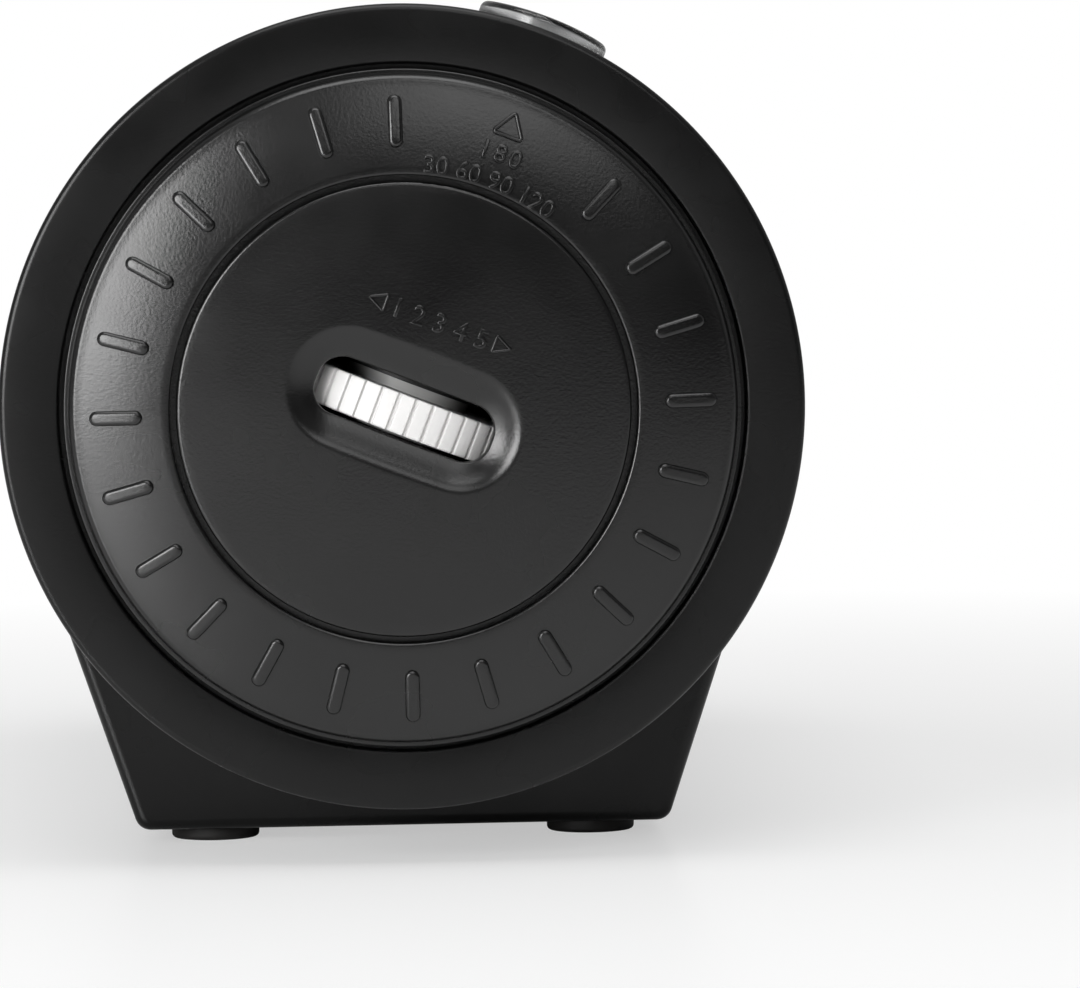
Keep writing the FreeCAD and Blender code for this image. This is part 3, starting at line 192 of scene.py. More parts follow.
# A bead carried along a closed path: a half-round ridge that dips below the surface it stands on
def beadGrid(path, width, height, depth=0.25):
    ahead = np.roll(path, -1, 0) - np.roll(path, 1, 0)
    ahead /= np.linalg.norm(ahead, axis=1)[:, None]
    side = np.stack([ahead[:, 1], -ahead[:, 0]], -1)
    arc = np.linspace(0, math.pi, 9)
    across = np.concatenate([np.cos(arc) * width / 2, [-width / 2, width / 2]])
    level = np.concatenate([np.sin(arc) ** 0.7 * height, [-depth, -depth]])
    flat = path[None, :, :] + side[None, :, :] * across[:, None, None]
    return np.concatenate([flat, np.broadcast_to(level[:, None, None], flat.shape[:2] + (1,))], -1)


# Node helpers for the finishes
def newFinish(name):
    material = bpy.data.materials.new(name)
    material.use_nodes = True
    tree = material.node_tree
    shader = tree.nodes["Principled BSDF"]
    place = tree.nodes.new("ShaderNodeTexCoord")
    return material, tree, shader, place.outputs["Object"]


# Noise whose features are about size millimetres across
def noiseOf(tree, place, size, detail=2.0, roughness=0.5, stretch=None):
    noise = tree.nodes.new("ShaderNodeTexNoise")
    noise.inputs["Scale"].default_value = metre / size
    noise.inputs["Detail"].default_value = detail
    noise.inputs["Roughness"].default_value = roughness
    if stretch:
        mapping = tree.nodes.new("ShaderNodeMapping")
        mapping.inputs["Scale"].default_value = stretch
        tree.links.new(place, mapping.inputs["Vector"])
        place = mapping.outputs["Vector"]
    tree.links.new(place, noise.inputs["Vector"])
    return noise.outputs["Fac"]


# A value carried from one range to another in a straight line
def rangeOf(tree, value, low, high, fromLow=0.3, fromHigh=0.7):
    node = tree.nodes.new("ShaderNodeMapRange")
    node.inputs["From Min"].default_value = fromLow
    node.inputs["From Max"].default_value = fromHigh
    node.inputs["To Min"].default_value = low
    node.inputs["To Max"].default_value = high
    tree.links.new(value, node.inputs["Value"])
    return node.outputs["Result"]


# A blend of two colours over the middle of a value's range
def colourOf(tree, value, first, second):
    ramp = tree.nodes.new("ShaderNodeValToRGB")
    ramp.color_ramp.elements[0].position = 0.35
    ramp.color_ramp.elements[1].position = 0.65
    ramp.color_ramp.elements[0].color = (*first, 1)
    ramp.color_ramp.elements[1].color = (*second, 1)
    tree.links.new(value, ramp.inputs["Fac"])
    return ramp.outputs["Color"]


# Bump of a depth in millimetres, over the normals in under where they are given
def bumpOf(tree, shader, height, depth, strength=1.0, under=None):
    bump = tree.nodes.new("ShaderNodeBump")
    bump.inputs["Strength"].default_value = strength
    bump.inputs["Distance"].default_value = depth / metre
    tree.links.new(height, bump.inputs["Height"])
    if under:
        tree.links.new(under, bump.inputs["Normal"])
    tree.links.new(bump.outputs["Normal"], shader.inputs["Normal"])
    return bump.outputs["Normal"]


# Moulded plastic: a fine eroded grain, a slow change of gloss and a slight change of tone
def mouldedPlastic(name, tone, gloss, grain, grainDepth, specular=0.5, softEdge=0.0, warm=0.0):
    material, tree, shader, place = newFinish(name)
    slow = noiseOf(tree, place, 14.0, 3.0)
    fine = noiseOf(tree, place, grain, 3.0, 0.6)
    base = (tone * (1 + warm), tone, tone * (1 - warm))
    lighter = tuple(c * 1.18 for c in base)
    tree.links.new(colourOf(tree, slow, base, lighter), shader.inputs["Base Color"])
    tree.links.new(rangeOf(tree, slow, gloss - 0.03, gloss + 0.04), shader.inputs["Roughness"])
    shader.inputs["Specular IOR Level"].default_value = specular
    under = None
    if softEdge:
        bevel = tree.nodes.new("ShaderNodeBevel")
        bevel.samples = 4
        bevel.inputs["Radius"].default_value = softEdge / metre
        under = bevel.outputs["Normal"]
    bumpOf(tree, shader, fine, grainDepth, 1.0, under)
    return material


# Bare metal: fine streaks change its tone and gloss
def metalFinish(name, tone, gloss, brushed=(1, 1, 1)):
    material, tree, shader, place = newFinish(name)
    shader.inputs["Metallic"].default_value = 1.0
    streak = noiseOf(tree, place, 0.4, 4.0, 0.6, brushed)
    tree.links.new(colourOf(tree, streak, tuple(c * 0.9 for c in tone), tone), shader.inputs["Base Color"])
    tree.links.new(rangeOf(tree, streak, gloss - 0.06, gloss + 0.08), shader.inputs["Roughness"])
    bumpOf(tree, shader, streak, 0.004)
    return material


# Clear plastic or glass: a slow change of haze and a slight waviness
def clearPlastic(name, tint, gloss, haze, index=1.49):
    material, tree, shader, place = newFinish(name)
    shader.inputs["Base Color"].default_value = (*tint, 1)
    shader.inputs["Transmission Weight"].default_value = 1.0
    shader.inputs["IOR"].default_value = index
    haziness = rangeOf(tree, noiseOf(tree, place, 3.0), gloss, gloss + haze)
    tree.links.new(haziness, shader.inputs["Roughness"])
    bumpOf(tree, shader, noiseOf(tree, place, 5.0, 1.0), 0.01, 0.3)
    return material


# A lit display bar: emission over a base that is darker in patches
def glowFinish(name, colour, strength):
    material, tree, shader, place = newFinish(name)
    tree.links.new(colourOf(tree, noiseOf(tree, place, 1.5), tuple(c * 0.5 for c in colour), colour),
                   shader.inputs["Base Color"])
    shader.inputs["Roughness"].default_value = 0.5
    shader.inputs["Emission Color"].default_value = (*colour, 1)
    shader.inputs["Emission Strength"].default_value = strength
    return material


finishes = {
    "case_black": mouldedPlastic("caseBlack", 0.0022, 0.26, 0.32, 0.006, 0.3, 0.25),
    "cap_black": mouldedPlastic("capBlack", 0.0024, 0.25, 0.34, 0.018, 0.5),
    "key_black": mouldedPlastic("keyBlack", 0.008, 0.46, 0.25, 0.006, 0.45),
    "parts_black": mouldedPlastic("partsBlack", 0.014, 0.5, 0.4, 0.006, 0.4, 0.15),
    "wheel_white": mouldedPlastic("wheelWhite", 0.52, 0.42, 0.5, 0.003, 0.45, 0, 0.01),
    "rubber": mouldedPlastic("footRubber", 0.008, 0.62, 0.35, 0.012, 0.3, 0, 0.06),
    "reflector": mouldedPlastic("displayBlock", 0.02, 0.6, 0.4, 0.004, 0.3),
    "ribbon": mouldedPlastic("ribbonGrey", 0.42, 0.5, 1.0, 0.01, 0.4),
    "lead": mouldedPlastic("leadBlack", 0.02, 0.5, 0.8, 0.01, 0.4),
    "felt": mouldedPlastic("washerFelt", 0.05, 0.9, 0.2, 0.04, 0.1),
    "cell": mouldedPlastic("cellWrap", 0.16, 0.35, 2.0, 0.003, 0.5),
    "magnet": mouldedPlastic("magnetGrey", 0.09, 0.6, 0.3, 0.01, 0.4),
    "cone": mouldedPlastic("conePaper", 0.03, 0.85, 0.6, 0.05, 0.2),
    "board": mouldedPlastic("boardLacquer", 0.03, 0.35, 1.2, 0.006, 0.5),
    "steel": metalFinish("screwSteel", (0.62, 0.61, 0.59), 0.3),
    "nickel": metalFinish("contactNickel", (0.72, 0.69, 0.62), 0.24),
    "smoked": clearPlastic("smokedWindow", (0.16, 0.045, 0.04), 0.04, 0.02),
    "clear": clearPlastic("clearLens", (0.93, 0.94, 0.94), 0.12, 0.08),
    "lens": clearPlastic("glassLens", (0.96, 0.97, 0.97), 0.01, 0.01, 1.52),
    "segment": mouldedPlastic("segmentOff", 0.06, 0.5, 0.5, 0.004, 0.4),
}
segmentGlow = glowFinish("segmentGlow", (1.0, 0.045, 0.02), 3.2)
print("finishes made:", len(finishes) + 1)


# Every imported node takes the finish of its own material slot
slotOfNode = {}
for row in frame["record"]["materials"]:
    for node in row.get("nodes", []):
        slotOfNode[node] = row["slot"]
for name, node in nodes.items():
    given = node.data.materials[0].name if node.data.materials else "case_black"
    slotName = slotOfNode.get(name) or given
    for index in range(len(node.data.materials)):
        node.data.materials[index] = finishes[slotName]


# Drum cups: the rim's two edges are rounded, and the bore and its ledge have small rounds
drumSizes = {
    "rimRound": 0.7, "wall": 2.0, "backWall": 2.4, "bore": 37.56, "boreRound": 0.3, "ledge": 1.9,
    "stepInner": 35.0, "stepOuter": 38.4, "stepDepth": 4.6, "plate": 2.3, "hubBore": 9.0,
    "hubRadius": 12.0, "hubFlange": 15.0, "hubFlangeThick": 2.0, "windowHole": 7.45,
    "flangeRound": 0.3, "ledgeRound": 0.12, "innerRound": 0.8,
}


# Section of a drum cup as (x, radius) from the hub's bore out over the back, the rim and the ledge,
# and in again along the inside; the turning drum also has a hub with a flange
def drumProfile(sizes, withHub):
    inner = drumRadius - sizes["wall"]
    face, ledge = ringFace, ringFace - sizes["ledge"]
    stepEnd, plateBack = face - sizes["stepDepth"], face - sizes["plate"]
    backInner = drumBack + sizes["backWall"]
    rim, small = sizes["rimRound"], sizes["boreRound"]
    start = [(drumBack, sizes["hubBore"], 0)]
    if withHub:
        hubEnd = drumLow[0]
        flangeEnd = hubEnd + sizes["hubFlangeThick"]
        flangeRound = sizes["flangeRound"]
        start = [(hubEnd, sizes["hubBore"], 0), (hubEnd, sizes["hubFlange"], flangeRound),
                 (flangeEnd, sizes["hubFlange"], flangeRound), (flangeEnd, sizes["hubRadius"], 0),
                 (drumBack, sizes["hubRadius"], 0)]
    corners = start + [
        (drumBack, drumRadius, rim), (face, drumRadius, rim), (face, sizes["bore"], small),
        (ledge, sizes["bore"], sizes["ledgeRound"]), (ledge, sizes["stepInner"], small),
        (stepEnd, sizes["stepInner"], 0), (stepEnd, sizes["stepOuter"], 0),
        (plateBack, sizes["stepOuter"], 0), (plateBack, inner, small),
        (backInner, inner, sizes["innerRound"]), (backInner, sizes["hubBore"], 0)]
    return roundedPath(corners)


# A rod that stands in for a drill: a lathe about the lens axis, from the middle out past the wall
def drillGrid(radius, low, high, around=96):
    turn = np.linspace(0, 2 * math.pi, around, endpoint=False)[None, :]
    reach = np.array([0, radius, radius, 0])[:, None]
    level = np.array([low, low, high, high])[:, None]
    return onDrum(opticX + reach * np.cos(turn), reach * np.sin(turn), level + 0 * turn)


# Cuts a closed grid out of a piece, and leaves no modifier on it
def drill(piece, grid, sharp):
    cutter = putPiece("drill", [grid], False, "case", finishes["parts_black"], sharp)
    cut = piece.modifiers.new("drill", "BOOLEAN")
    cut.operation = "DIFFERENCE"
    cut.solver = "EXACT"
    cut.object = cutter
    bpy.context.view_layer.update()
    shown = piece.evaluated_get(bpy.context.evaluated_depsgraph_get())
    drilled = bpy.data.meshes.new_from_object(shown)
    piece.modifiers.clear()
    piece.data = drilled
    drilled.shade_smooth()
    drilled.set_sharp_from_angle(angle=math.radians(sharp))
    bpy.data.objects.remove(cutter)


projectorDrum = putPiece("projectorDrum", [latheGrid(drumProfile(drumSizes, True))], True, "drum",
                         finishes["case_black"])
drill(projectorDrum, drillGrid(drumSizes["windowHole"], drumRadius / 2, drumRadius + 4), 38.0)
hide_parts("projector_drum")
sounderDrum = putPiece("sounderDrum", [latheGrid(drumProfile(drumSizes, False), mirror=-1.0)], True, "case",
                       finishes["case_black"])
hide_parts("sounder_drum")
print("drums made")


# Dial cap: heights above the ring face; the front is a shallow cone with a slight bulge, its shoulder
# is a quarter ellipse, and a narrow lip with a rounded edge runs round beside the drum's bore
capSizes = {
    "radius": 36.9, "shoulderHeight": 1.15, "shoulderRound": 1.4, "lip": 0.42, "lipRound": 0.14,
    "edgeHeight": 2.6, "innerHeight": 4.4, "bulge": 0.2, "bore": 25.4, "boreRound": 0.3,
    "ledgeBore": 23.4, "ledgeHeight": 2.3, "plateHeight": 0.4,
    "spigotOuter": 34.85, "spigotInner": 33.4, "spigotReach": 4.2,
    "barInner": 28.4, "barOuter": 34.1, "barWidth": 1.6, "barProud": 0.55, "barEdge": 0.42,
    "barPitch": 15.0, "barCount": 24,
    "markerInner": 31.4, "markerOuter": 34.6, "markerHalfWidth": 1.95, "markerLine": 0.45,
    "markerProud": 0.35, "markerInset": 0.25, "markerRound": 0.22,
}


# Height of the cap's front at a radius: a straight slope plus a bulge that is widest halfway
def capHeight(radius):
    outer = capSizes["radius"] - capSizes["shoulderRound"]
    share = (radius - capSizes["bore"]) / (outer - capSizes["bore"])
    slope = capSizes["innerHeight"] + (capSizes["edgeHeight"] - capSizes["innerHeight"]) * share
    return slope + 4 * capSizes["bulge"] * share * (1 - share)


# Section of the cap: bore's lip, front, shoulder, edge, then the back and its spigot
def capProfile(sizes):
    outer = sizes["radius"] - sizes["shoulderRound"]
    radii = np.linspace(sizes["bore"] + sizes["boreRound"], outer, 14)
    front = np.stack([ringFace + capHeight(radii), radii], -1)
    arc = np.linspace(0, math.pi / 2, 12)[1:]
    drop = sizes["edgeHeight"] - sizes["shoulderHeight"]
    shoulder = np.stack([ringFace + sizes["shoulderHeight"] + drop * np.cos(arc),
                         outer + (sizes["shoulderRound"] - sizes["lip"]) * np.sin(arc)], -1)
    turned = np.linspace(0, math.pi / 2, 6)
    edge = np.stack([ringFace + sizes["shoulderHeight"] - sizes["lipRound"] * (1 - np.cos(turned)),
                     sizes["radius"] - sizes["lipRound"] * (1 - np.sin(turned))], -1)
    small = np.linspace(0, math.pi / 2, 6)[:-1]
    lip = np.stack([front[0, 0] - sizes["boreRound"] * (1 - np.sin(small)),
                    sizes["bore"] + sizes["boreRound"] * (1 - np.cos(small))], -1)
    seat, spigot = -drumSizes["ledge"], -sizes["spigotReach"]
    under = np.array([(seat, sizes["radius"]), (seat, sizes["spigotOuter"]),
                      (spigot, sizes["spigotOuter"]), (spigot, sizes["spigotInner"]),
                      (sizes["plateHeight"], sizes["spigotInner"]),
                      (sizes["plateHeight"], sizes["ledgeBore"]),
                      (sizes["ledgeHeight"], sizes["ledgeBore"]), (sizes["ledgeHeight"], sizes["bore"])])
    under[:, 0] += ringFace
    return np.concatenate([lip, front, shoulder, edge, under])


# Lays flat (outward, sideways, height) points on the cap's front, turned clockwise from the lens
def onCap(grid, turn):
    radius = np.hypot(grid[..., 0], grid[..., 1])
    angle = np.arctan2(grid[..., 1], grid[..., 0]) + turn
    level = ringFace + capHeight(radius) + grid[..., 2]
    return onDrum(level, radius * np.sin(angle), radius * np.cos(angle))


dialCap = putPiece("dialCap", [latheGrid(capProfile(capSizes))], True, "drum", finishes["cap_black"])
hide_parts("dial_cap")

barMiddle = (capSizes["barInner"] + capSizes["barOuter"]) / 2
barGrid = padGrid((capSizes["barOuter"] - capSizes["barInner"]) / 2, capSizes["barWidth"] / 2,
                  capSizes["barWidth"] / 2, capSizes["barProud"], 0.3, capSizes["barEdge"], 3, 9)
barGrid = barGrid + np.array([barMiddle, 0, 0])
barTurns = [math.radians(capSizes["barPitch"] * (i + 0.5)) for i in range(1, capSizes["barCount"] - 1)]
dialBars = putPiece("dialBars", [onCap(barGrid, turn) for turn in barTurns], False, "drum",
                    finishes["cap_black"])

markerInset, markerRound = capSizes["markerInset"], capSizes["markerRound"]
markerFoot = capSizes["markerInner"] + markerInset
markerSide = capSizes["markerHalfWidth"] - markerInset
markerPath = roundedPath([(capSizes["markerOuter"] - markerInset, 0, markerRound),
                          (markerFoot, -markerSide, markerRound),
                          (markerFoot, markerSide, markerRound)], 6, True)
markerGrid = beadGrid(markerPath, capSizes["markerLine"], capSizes["markerProud"])
dialMarker = putPiece("dialMarker", [onCap(markerGrid, 0.0)], True, "drum", finishes["cap_black"], 60.0)


# Centre cover: a shallow dome with a finger recess, and a slot through the recess for the wheel
coverSizes = {
    "radius": 24.7, "edgeRound": 0.42, "edgeHeight": 4.4, "apexHeight": 5.4, "plate": 1.9, "rim": 2.7,
    "spigotOuter": 23.3, "spigotWall": 1.3, "spigotReach": 1.7,
    "recessLength": 26.3, "recessWidth": 12.9, "recessDepth": 2.2, "recessBlend": 0.5, "recessWall": 1.6,
    "slotLength": 20.2, "slotWidth": 6.4, "slotCorner": 2.8, "slotEdge": 0.3,
}


# Height of the cover's top above the ring face. The dome drops with the square of the radius; the
# recess is a rod with ball ends, so its depth goes by the distance from its middle line; the lower of
# the two counts, and they melt into each other over the blend width.
def coverHeight(a, b):
    sizes = coverSizes
    rise = sizes["apexHeight"] - sizes["edgeHeight"]
    dome = sizes["apexHeight"] - rise * (a**2 + b**2) / (sizes["radius"] - sizes["edgeRound"])**2
    halfWidth = sizes["recessWidth"] / 2
    ball = (halfWidth**2 + sizes["recessDepth"]**2) / (2 * sizes["recessDepth"])
    halfRun = (sizes["recessLength"] - sizes["recessWidth"]) / 2
    away = np.hypot(np.maximum(np.abs(a) - halfRun, 0), b)
    dish = sizes["apexHeight"] - sizes["recessDepth"] + ball - np.sqrt(np.maximum(ball**2 - away**2, 0))
    dish = np.where(away < ball, dish, sizes["apexHeight"] + ball)
    blend = sizes["recessBlend"]
    mix = np.maximum(blend - np.abs(dome - dish), 0) / blend
    return np.minimum(dome, dish) - mix**2 * blend / 4


# Rings of the cover from the slot's wall over its mouth, the recess and the dome to the edge, and back
# along the spigot and the boss under the recess
def coverGrid(sizes):
    arcSteps, runSteps = 26, 34

    def outline(halfA, halfB, corner):
        return roundedOutline(halfA, halfB, corner, arcSteps, runSteps)

    def ring(flat, height):
        return np.column_stack([flat, np.broadcast_to(height, len(flat))])

    halfSlot = (sizes["slotLength"] / 2, sizes["slotWidth"] / 2)
    halfRecess = (sizes["recessLength"] / 2, sizes["recessWidth"] / 2)
    edge = sizes["slotEdge"]
    slot = outline(*halfSlot, sizes["slotCorner"])
    mouth = outline(halfSlot[0] + edge, halfSlot[1] + edge, sizes["slotCorner"] + edge)
    recess = outline(*halfRecess, halfRecess[1])
    turn = np.arctan2(recess[:, 1], recess[:, 0])
    way = np.stack([np.cos(turn), np.sin(turn)], -1)
    bossBack = sizes["apexHeight"] - sizes["recessDepth"] - sizes["recessWall"]
    under = sizes["edgeHeight"] - sizes["plate"]
    boss = outline(halfRecess[0] + sizes["recessWall"], halfRecess[1] + sizes["recessWall"],
                   halfRecess[1] + sizes["recessWall"])
    rings = [ring(slot, bossBack)]
    for t in np.linspace(0, math.pi / 2, 5):
        flat = slot + (mouth - slot) * (1 - math.cos(t))
        rings.append(ring(flat, coverHeight(*mouth.T) - edge * (1 - math.sin(t))))
    for share in np.concatenate([np.linspace(0, 0.7, 8)[1:], np.linspace(0.7, 1.0, 14)[1:]]):
        flat = mouth + (recess - mouth) * share
        rings.append(ring(flat, coverHeight(*flat.T)))
    outer = sizes["radius"] - sizes["edgeRound"]
    for share in np.concatenate([np.linspace(0, 0.15, 10)[1:], np.linspace(0.15, 1.0, 18)[1:]]):
        flat = recess + (way * outer - recess) * share
        rings.append(ring(flat, coverHeight(*flat.T)))
    for t in np.linspace(0, math.pi / 2, 6)[1:]:
        rings.append(ring(way * (outer + sizes["edgeRound"] * math.sin(t)),
                          sizes["edgeHeight"] - sizes["edgeRound"] * (1 - math.cos(t))))
    ledge = capSizes["ledgeHeight"]
    for radius, height in ((sizes["radius"], ledge), (sizes["spigotOuter"], ledge),
                           (sizes["spigotOuter"], ledge - sizes["spigotReach"]),
                           (sizes["spigotOuter"] - sizes["spigotWall"], ledge - sizes["spigotReach"]),
                           (sizes["radius"] - sizes["rim"] - 0.5, under)):
        rings.append(ring(way * radius, height))
    rings += [ring(boss, under), ring(boss, bossBack)]
    return np.stack(rings)


# Lays flat (across, up, height) points of the cover in the drum's frame
def onCover(grid):
    return onDrum(ringFace + grid[..., 2], grid[..., 0], grid[..., 1])


centreCover = putPiece("centreCover", [onCover(coverGrid(coverSizes))], True, "drum",
                       finishes["cap_black"], 50.0)
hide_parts("centre_cover")
print("dial made")


# Focus wheel: lands and grooves round the rim and a plain boss each side. The rim's middle lies
# below the drum's axis by the drop, and its edges are broken.
wheelSizes = {
    "radius": 14.4, "width": 4.3, "drop": 0.6, "ribs": 46, "grooveDepth": 0.4, "grooveShare": 0.2,
    "grooveBlend": 0.14, "edge": 0.25, "rimDepth": 1.2, "hubRadius": 7.0, "hubLow": 0.45, "hubHigh": 2.05,
    "bore": 5.56,
}


# The groove's depth goes by a flat-bottomed wave of the angle, smoothed at both ends
def wheelGrid(sizes, steps=16):
    around = sizes["ribs"] * steps
    turn = np.arange(around) * 2 * math.pi / around
    phase = np.abs((turn * sizes["ribs"] / (2 * math.pi)) % 1.0 - 0.5) * 2       # 0 in a groove's middle
    wave = np.clip((phase - sizes["grooveShare"]) / sizes["grooveBlend"] + 0.5, 0, 1)
    depth = sizes["grooveDepth"] * (1 - wave * wave * (3 - 2 * wave))
    low = -sizes["width"] / 2 - sizes["drop"]
    high, edge = low + sizes["width"], sizes["edge"]
    hubTop = sizes["width"] / 2 + sizes["hubHigh"]
    rim = sizes["radius"] - depth
    section = [(sizes["bore"], low - sizes["hubLow"]), (sizes["hubRadius"], low - sizes["hubLow"]),
               (sizes["hubRadius"], low), (sizes["radius"] - sizes["rimDepth"], low)]
    upper = [(sizes["radius"] - sizes["rimDepth"], high), (sizes["hubRadius"], high),
             (sizes["hubRadius"], hubTop), (sizes["bore"], hubTop)]
    rings = [(np.full(around, radius), np.full(around, level)) for radius, level in section]
    for t in np.linspace(0, math.pi / 2, 5):
        rings.append((rim - edge * (1 - math.sin(t)), np.full(around, low + edge * (1 - math.cos(t)))))
    for t in np.linspace(math.pi / 2, 0, 5):
        rings.append((rim - edge * (1 - math.sin(t)), np.full(around, high - edge * (1 - math.cos(t)))))
    rings += [(np.full(around, radius), np.full(around, level)) for radius, level in upper]
    radius = np.stack([ring[0] for ring in rings])
    level = np.stack([ring[1] for ring in rings])
    return onDrum(opticX + radius * np.cos(turn), radius * np.sin(turn), level)


focusWheel = putPiece("focusWheel", [wheelGrid(wheelSizes)], True, "focus", finishes["wheel_white"], 34.0)
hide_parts("focus_wheel")


# Lens window: a clear disc whose top follows a barrel a little larger than the drum, with a rounded
# edge, and a flange under the drum's wall
windowSizes = {
    "radius": 7.35, "proud": 1.5, "edge": 0.7, "flange": 1.4, "flangeThick": 1.2, "flangeGap": 0.02,
    "frontGap": 0.2,
}


# Each ring lies on a barrel about the drum's axis: its height is the root of the barrel's radius
# squared less the way across squared
def windowGrid(sizes, around=128):
    turn = np.linspace(0, 2 * math.pi, around, endpoint=False)
    inner = drumRadius - drumSizes["wall"]
    top = drumRadius + sizes["proud"]
    radius, edge = sizes["radius"], sizes["edge"]
    # Each ring: reach from the lens axis, radius of the barrel it lies on
    rings = [(radius * share, inner - sizes["flangeThick"]) for share in (0.0, 0.5, 1.0)]
    flange, flangeTop = radius + sizes["flange"], inner - sizes["flangeGap"]
    rings += [(flange, inner - sizes["flangeThick"]), (flange, flangeTop), (radius, flangeTop),
              (radius, top - edge)]
    rings += [(radius - edge * (1 - math.cos(t)), top - edge + edge * math.sin(t))
              for t in np.linspace(0, math.pi / 2, 7)[1:]]
    rings += [((radius - edge) * share, top) for share in np.linspace(1, 0, 7)[1:]]
    reach = np.array([ring[0] for ring in rings])[:, None]
    barrel = np.array([ring[1] for ring in rings])[:, None]
    frontLimit = ringFace - drumSizes["plate"] - sizes["frontGap"] - opticX
    along = np.minimum(reach * np.cos(turn), np.where(barrel < inner, frontLimit, np.inf))
    across = reach * np.sin(turn)
    return onDrum(opticX + along, across, np.sqrt(barrel**2 - across**2))


lensWindow = putPiece("lensWindow", [windowGrid(windowSizes)], False, "drum", finishes["clear"])
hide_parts("lens_window")
print("wheel and lens window made")


# Keys: pads flush with the barrel, with a finger dish
keySizes = {
    "proud": 0.0, "edge": 0.45, "snoozeHalf": (24.0, 8.0), "snoozeCorner": 4.0,
    "smallHalf": (4.0, 6.0), "smallCorner": 1.6, "smallX": (32.6, 43.8), "depth": 6.0, "dish": 0.35,
}


# A pad's height is measured out from the barrel, so that its top follows the barrel's curve
def keyGrid(halfA, halfB, corner, x):
    grid = padGrid(halfA, halfB, corner, keySizes["proud"], keySizes["depth"], keySizes["edge"], 10)
    a, b, height = grid[..., 0], grid[..., 1], grid[..., 2]
    # The finger dish: deepest in the middle, fading out with the square of the way to each side
    hollow = np.clip(1 - (a / halfA)**2, 0, 1) * np.clip(1 - (b / halfB)**2, 0, 1)
    onTop = height > keySizes["proud"] - 1e-6
    level = drumRadius + np.where(onTop, height - keySizes["dish"] * hollow, height)
    return np.stack([x + a, b, axisHeight + np.sqrt(level**2 - b**2)], -1)


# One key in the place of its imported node
def key(name, node, body, half, corner, x):
    piece = putPiece(name, [keyGrid(*half, corner, x)], False, body, finishes["key_black"])
    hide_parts(node)


key("snoozeBar", "snooze_bar", "snooze", keySizes["snoozeHalf"], keySizes["snoozeCorner"], 0.0)
for number, x in enumerate([-x for x in reversed(keySizes["smallX"])] + list(keySizes["smallX"]), 1):
    key("smallKey%d" % number, "key_%d" % number, "key_%d" % number, keySizes["smallHalf"],
        keySizes["smallCorner"], x)


# Feet: short rubber discs with a rounded lower edge and a peg up into the floor
footSizes = {
    "radius": 5.0, "height": 1.5, "round": 0.5, "upperRound": 0.12, "pegRadius": 2.0, "peg": 1.5,
    "pegRound": 0.3, "x": 52.0, "y": 21.5,
}


# A profile of (reach, height) carried round an upright line through the foot's middle
def footGrid(sizes, x, y, around=72):
    pegTop = sizes["height"] + sizes["peg"]
    profile = roundedPath([(0, 0, 0), (sizes["radius"], 0, sizes["round"]),
                           (sizes["radius"], sizes["height"], sizes["upperRound"]),
                           (sizes["pegRadius"], sizes["height"], 0),
                           (sizes["pegRadius"], pegTop, sizes["pegRound"]), (0, pegTop, 0)])
    turn = np.linspace(0, 2 * math.pi, around, endpoint=False)[None, :]
    reach, level = profile[:, 0][:, None], profile[:, 1][:, None]
    return np.stack(np.broadcast_arrays(x + reach * np.cos(turn), y + reach * np.sin(turn), level), -1)


feet = putPiece("rubberFeet", [footGrid(footSizes, x * footSizes["x"], y * footSizes["y"])
                               for x in (-1, 1) for y in (-1, 1)], False, "case", finishes["rubber"])
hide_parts("rubber_feet")
print("keys and feet made")


# Display: the bars of four digits behind the smoked window, lit for a plain time
displaySizes = {
    "angle": 26.0, "front": 37.9, "depth": 1.2, "digitHeight": 15.6, "digitWidth": 8.6, "pitch": 15.0,
    "groupGap": 5.0, "segment": 1.7, "gap": 0.35, "edge": 0.15, "colon": 1.1, "time": "1008",
}
# Bars in the order: bottom, middle, top, lower left, upper left, lower right, upper right
litBars = {"0": "1011111", "1": "0000011", "8": "1111111"}


# Seven low blocks a digit, laid out from the digit's width and height, and two dots for the colon
def segmentGrids(sizes):
    lit, dark = [], []
    reachA = (sizes["digitWidth"] - sizes["segment"]) / 2
    reachB = (sizes["digitHeight"] - sizes["segment"]) / 2
    flat = reachA - sizes["segment"] / 2 - sizes["gap"] / 2
    tall = reachB / 2 - sizes["segment"] / 2 - sizes["gap"] / 2
    half = sizes["segment"] / 2
    bars = [(0, b, flat, half) for b in (-reachB, 0, reachB)]
    bars += [(a, b, half, tall) for a in (-reachA, reachA) for b in (-reachB / 2, reachB / 2)]
    for digit, place in zip(sizes["time"], (-1.5, -0.5, 0.5, 1.5)):
        middle = place * sizes["pitch"] + math.copysign(sizes["groupGap"] / 2, place)
        for on, (a, b, halfA, halfB) in zip(litBars[digit], bars):
            grid = padGrid(halfA, halfB, sizes["segment"] / 4, 0.0, sizes["depth"], sizes["edge"], 2, 5)
            (lit if on == "1" else dark).append(grid + np.array([middle + a, b, 0]))
    dot = sizes["colon"]
    for b in (-sizes["digitHeight"] / 5, sizes["digitHeight"] / 5):
        grid = padGrid(dot, dot, dot, 0.0, sizes["depth"], sizes["edge"], 2, 6)
        lit.append(grid + np.array([0, b, 0]))
    return lit, dark


# Lays (across, up, height) points on the display's plane, which leans back by its angle
def onDisplay(grid):
    turn = math.radians(displaySizes["angle"])
    out = displaySizes["front"] + grid[..., 2]
    up = grid[..., 1]
    return np.stack([grid[..., 0], -out * math.cos(turn) + up * math.sin(turn),
                     axisHeight + out * math.sin(turn) + up * math.cos(turn)], -1)


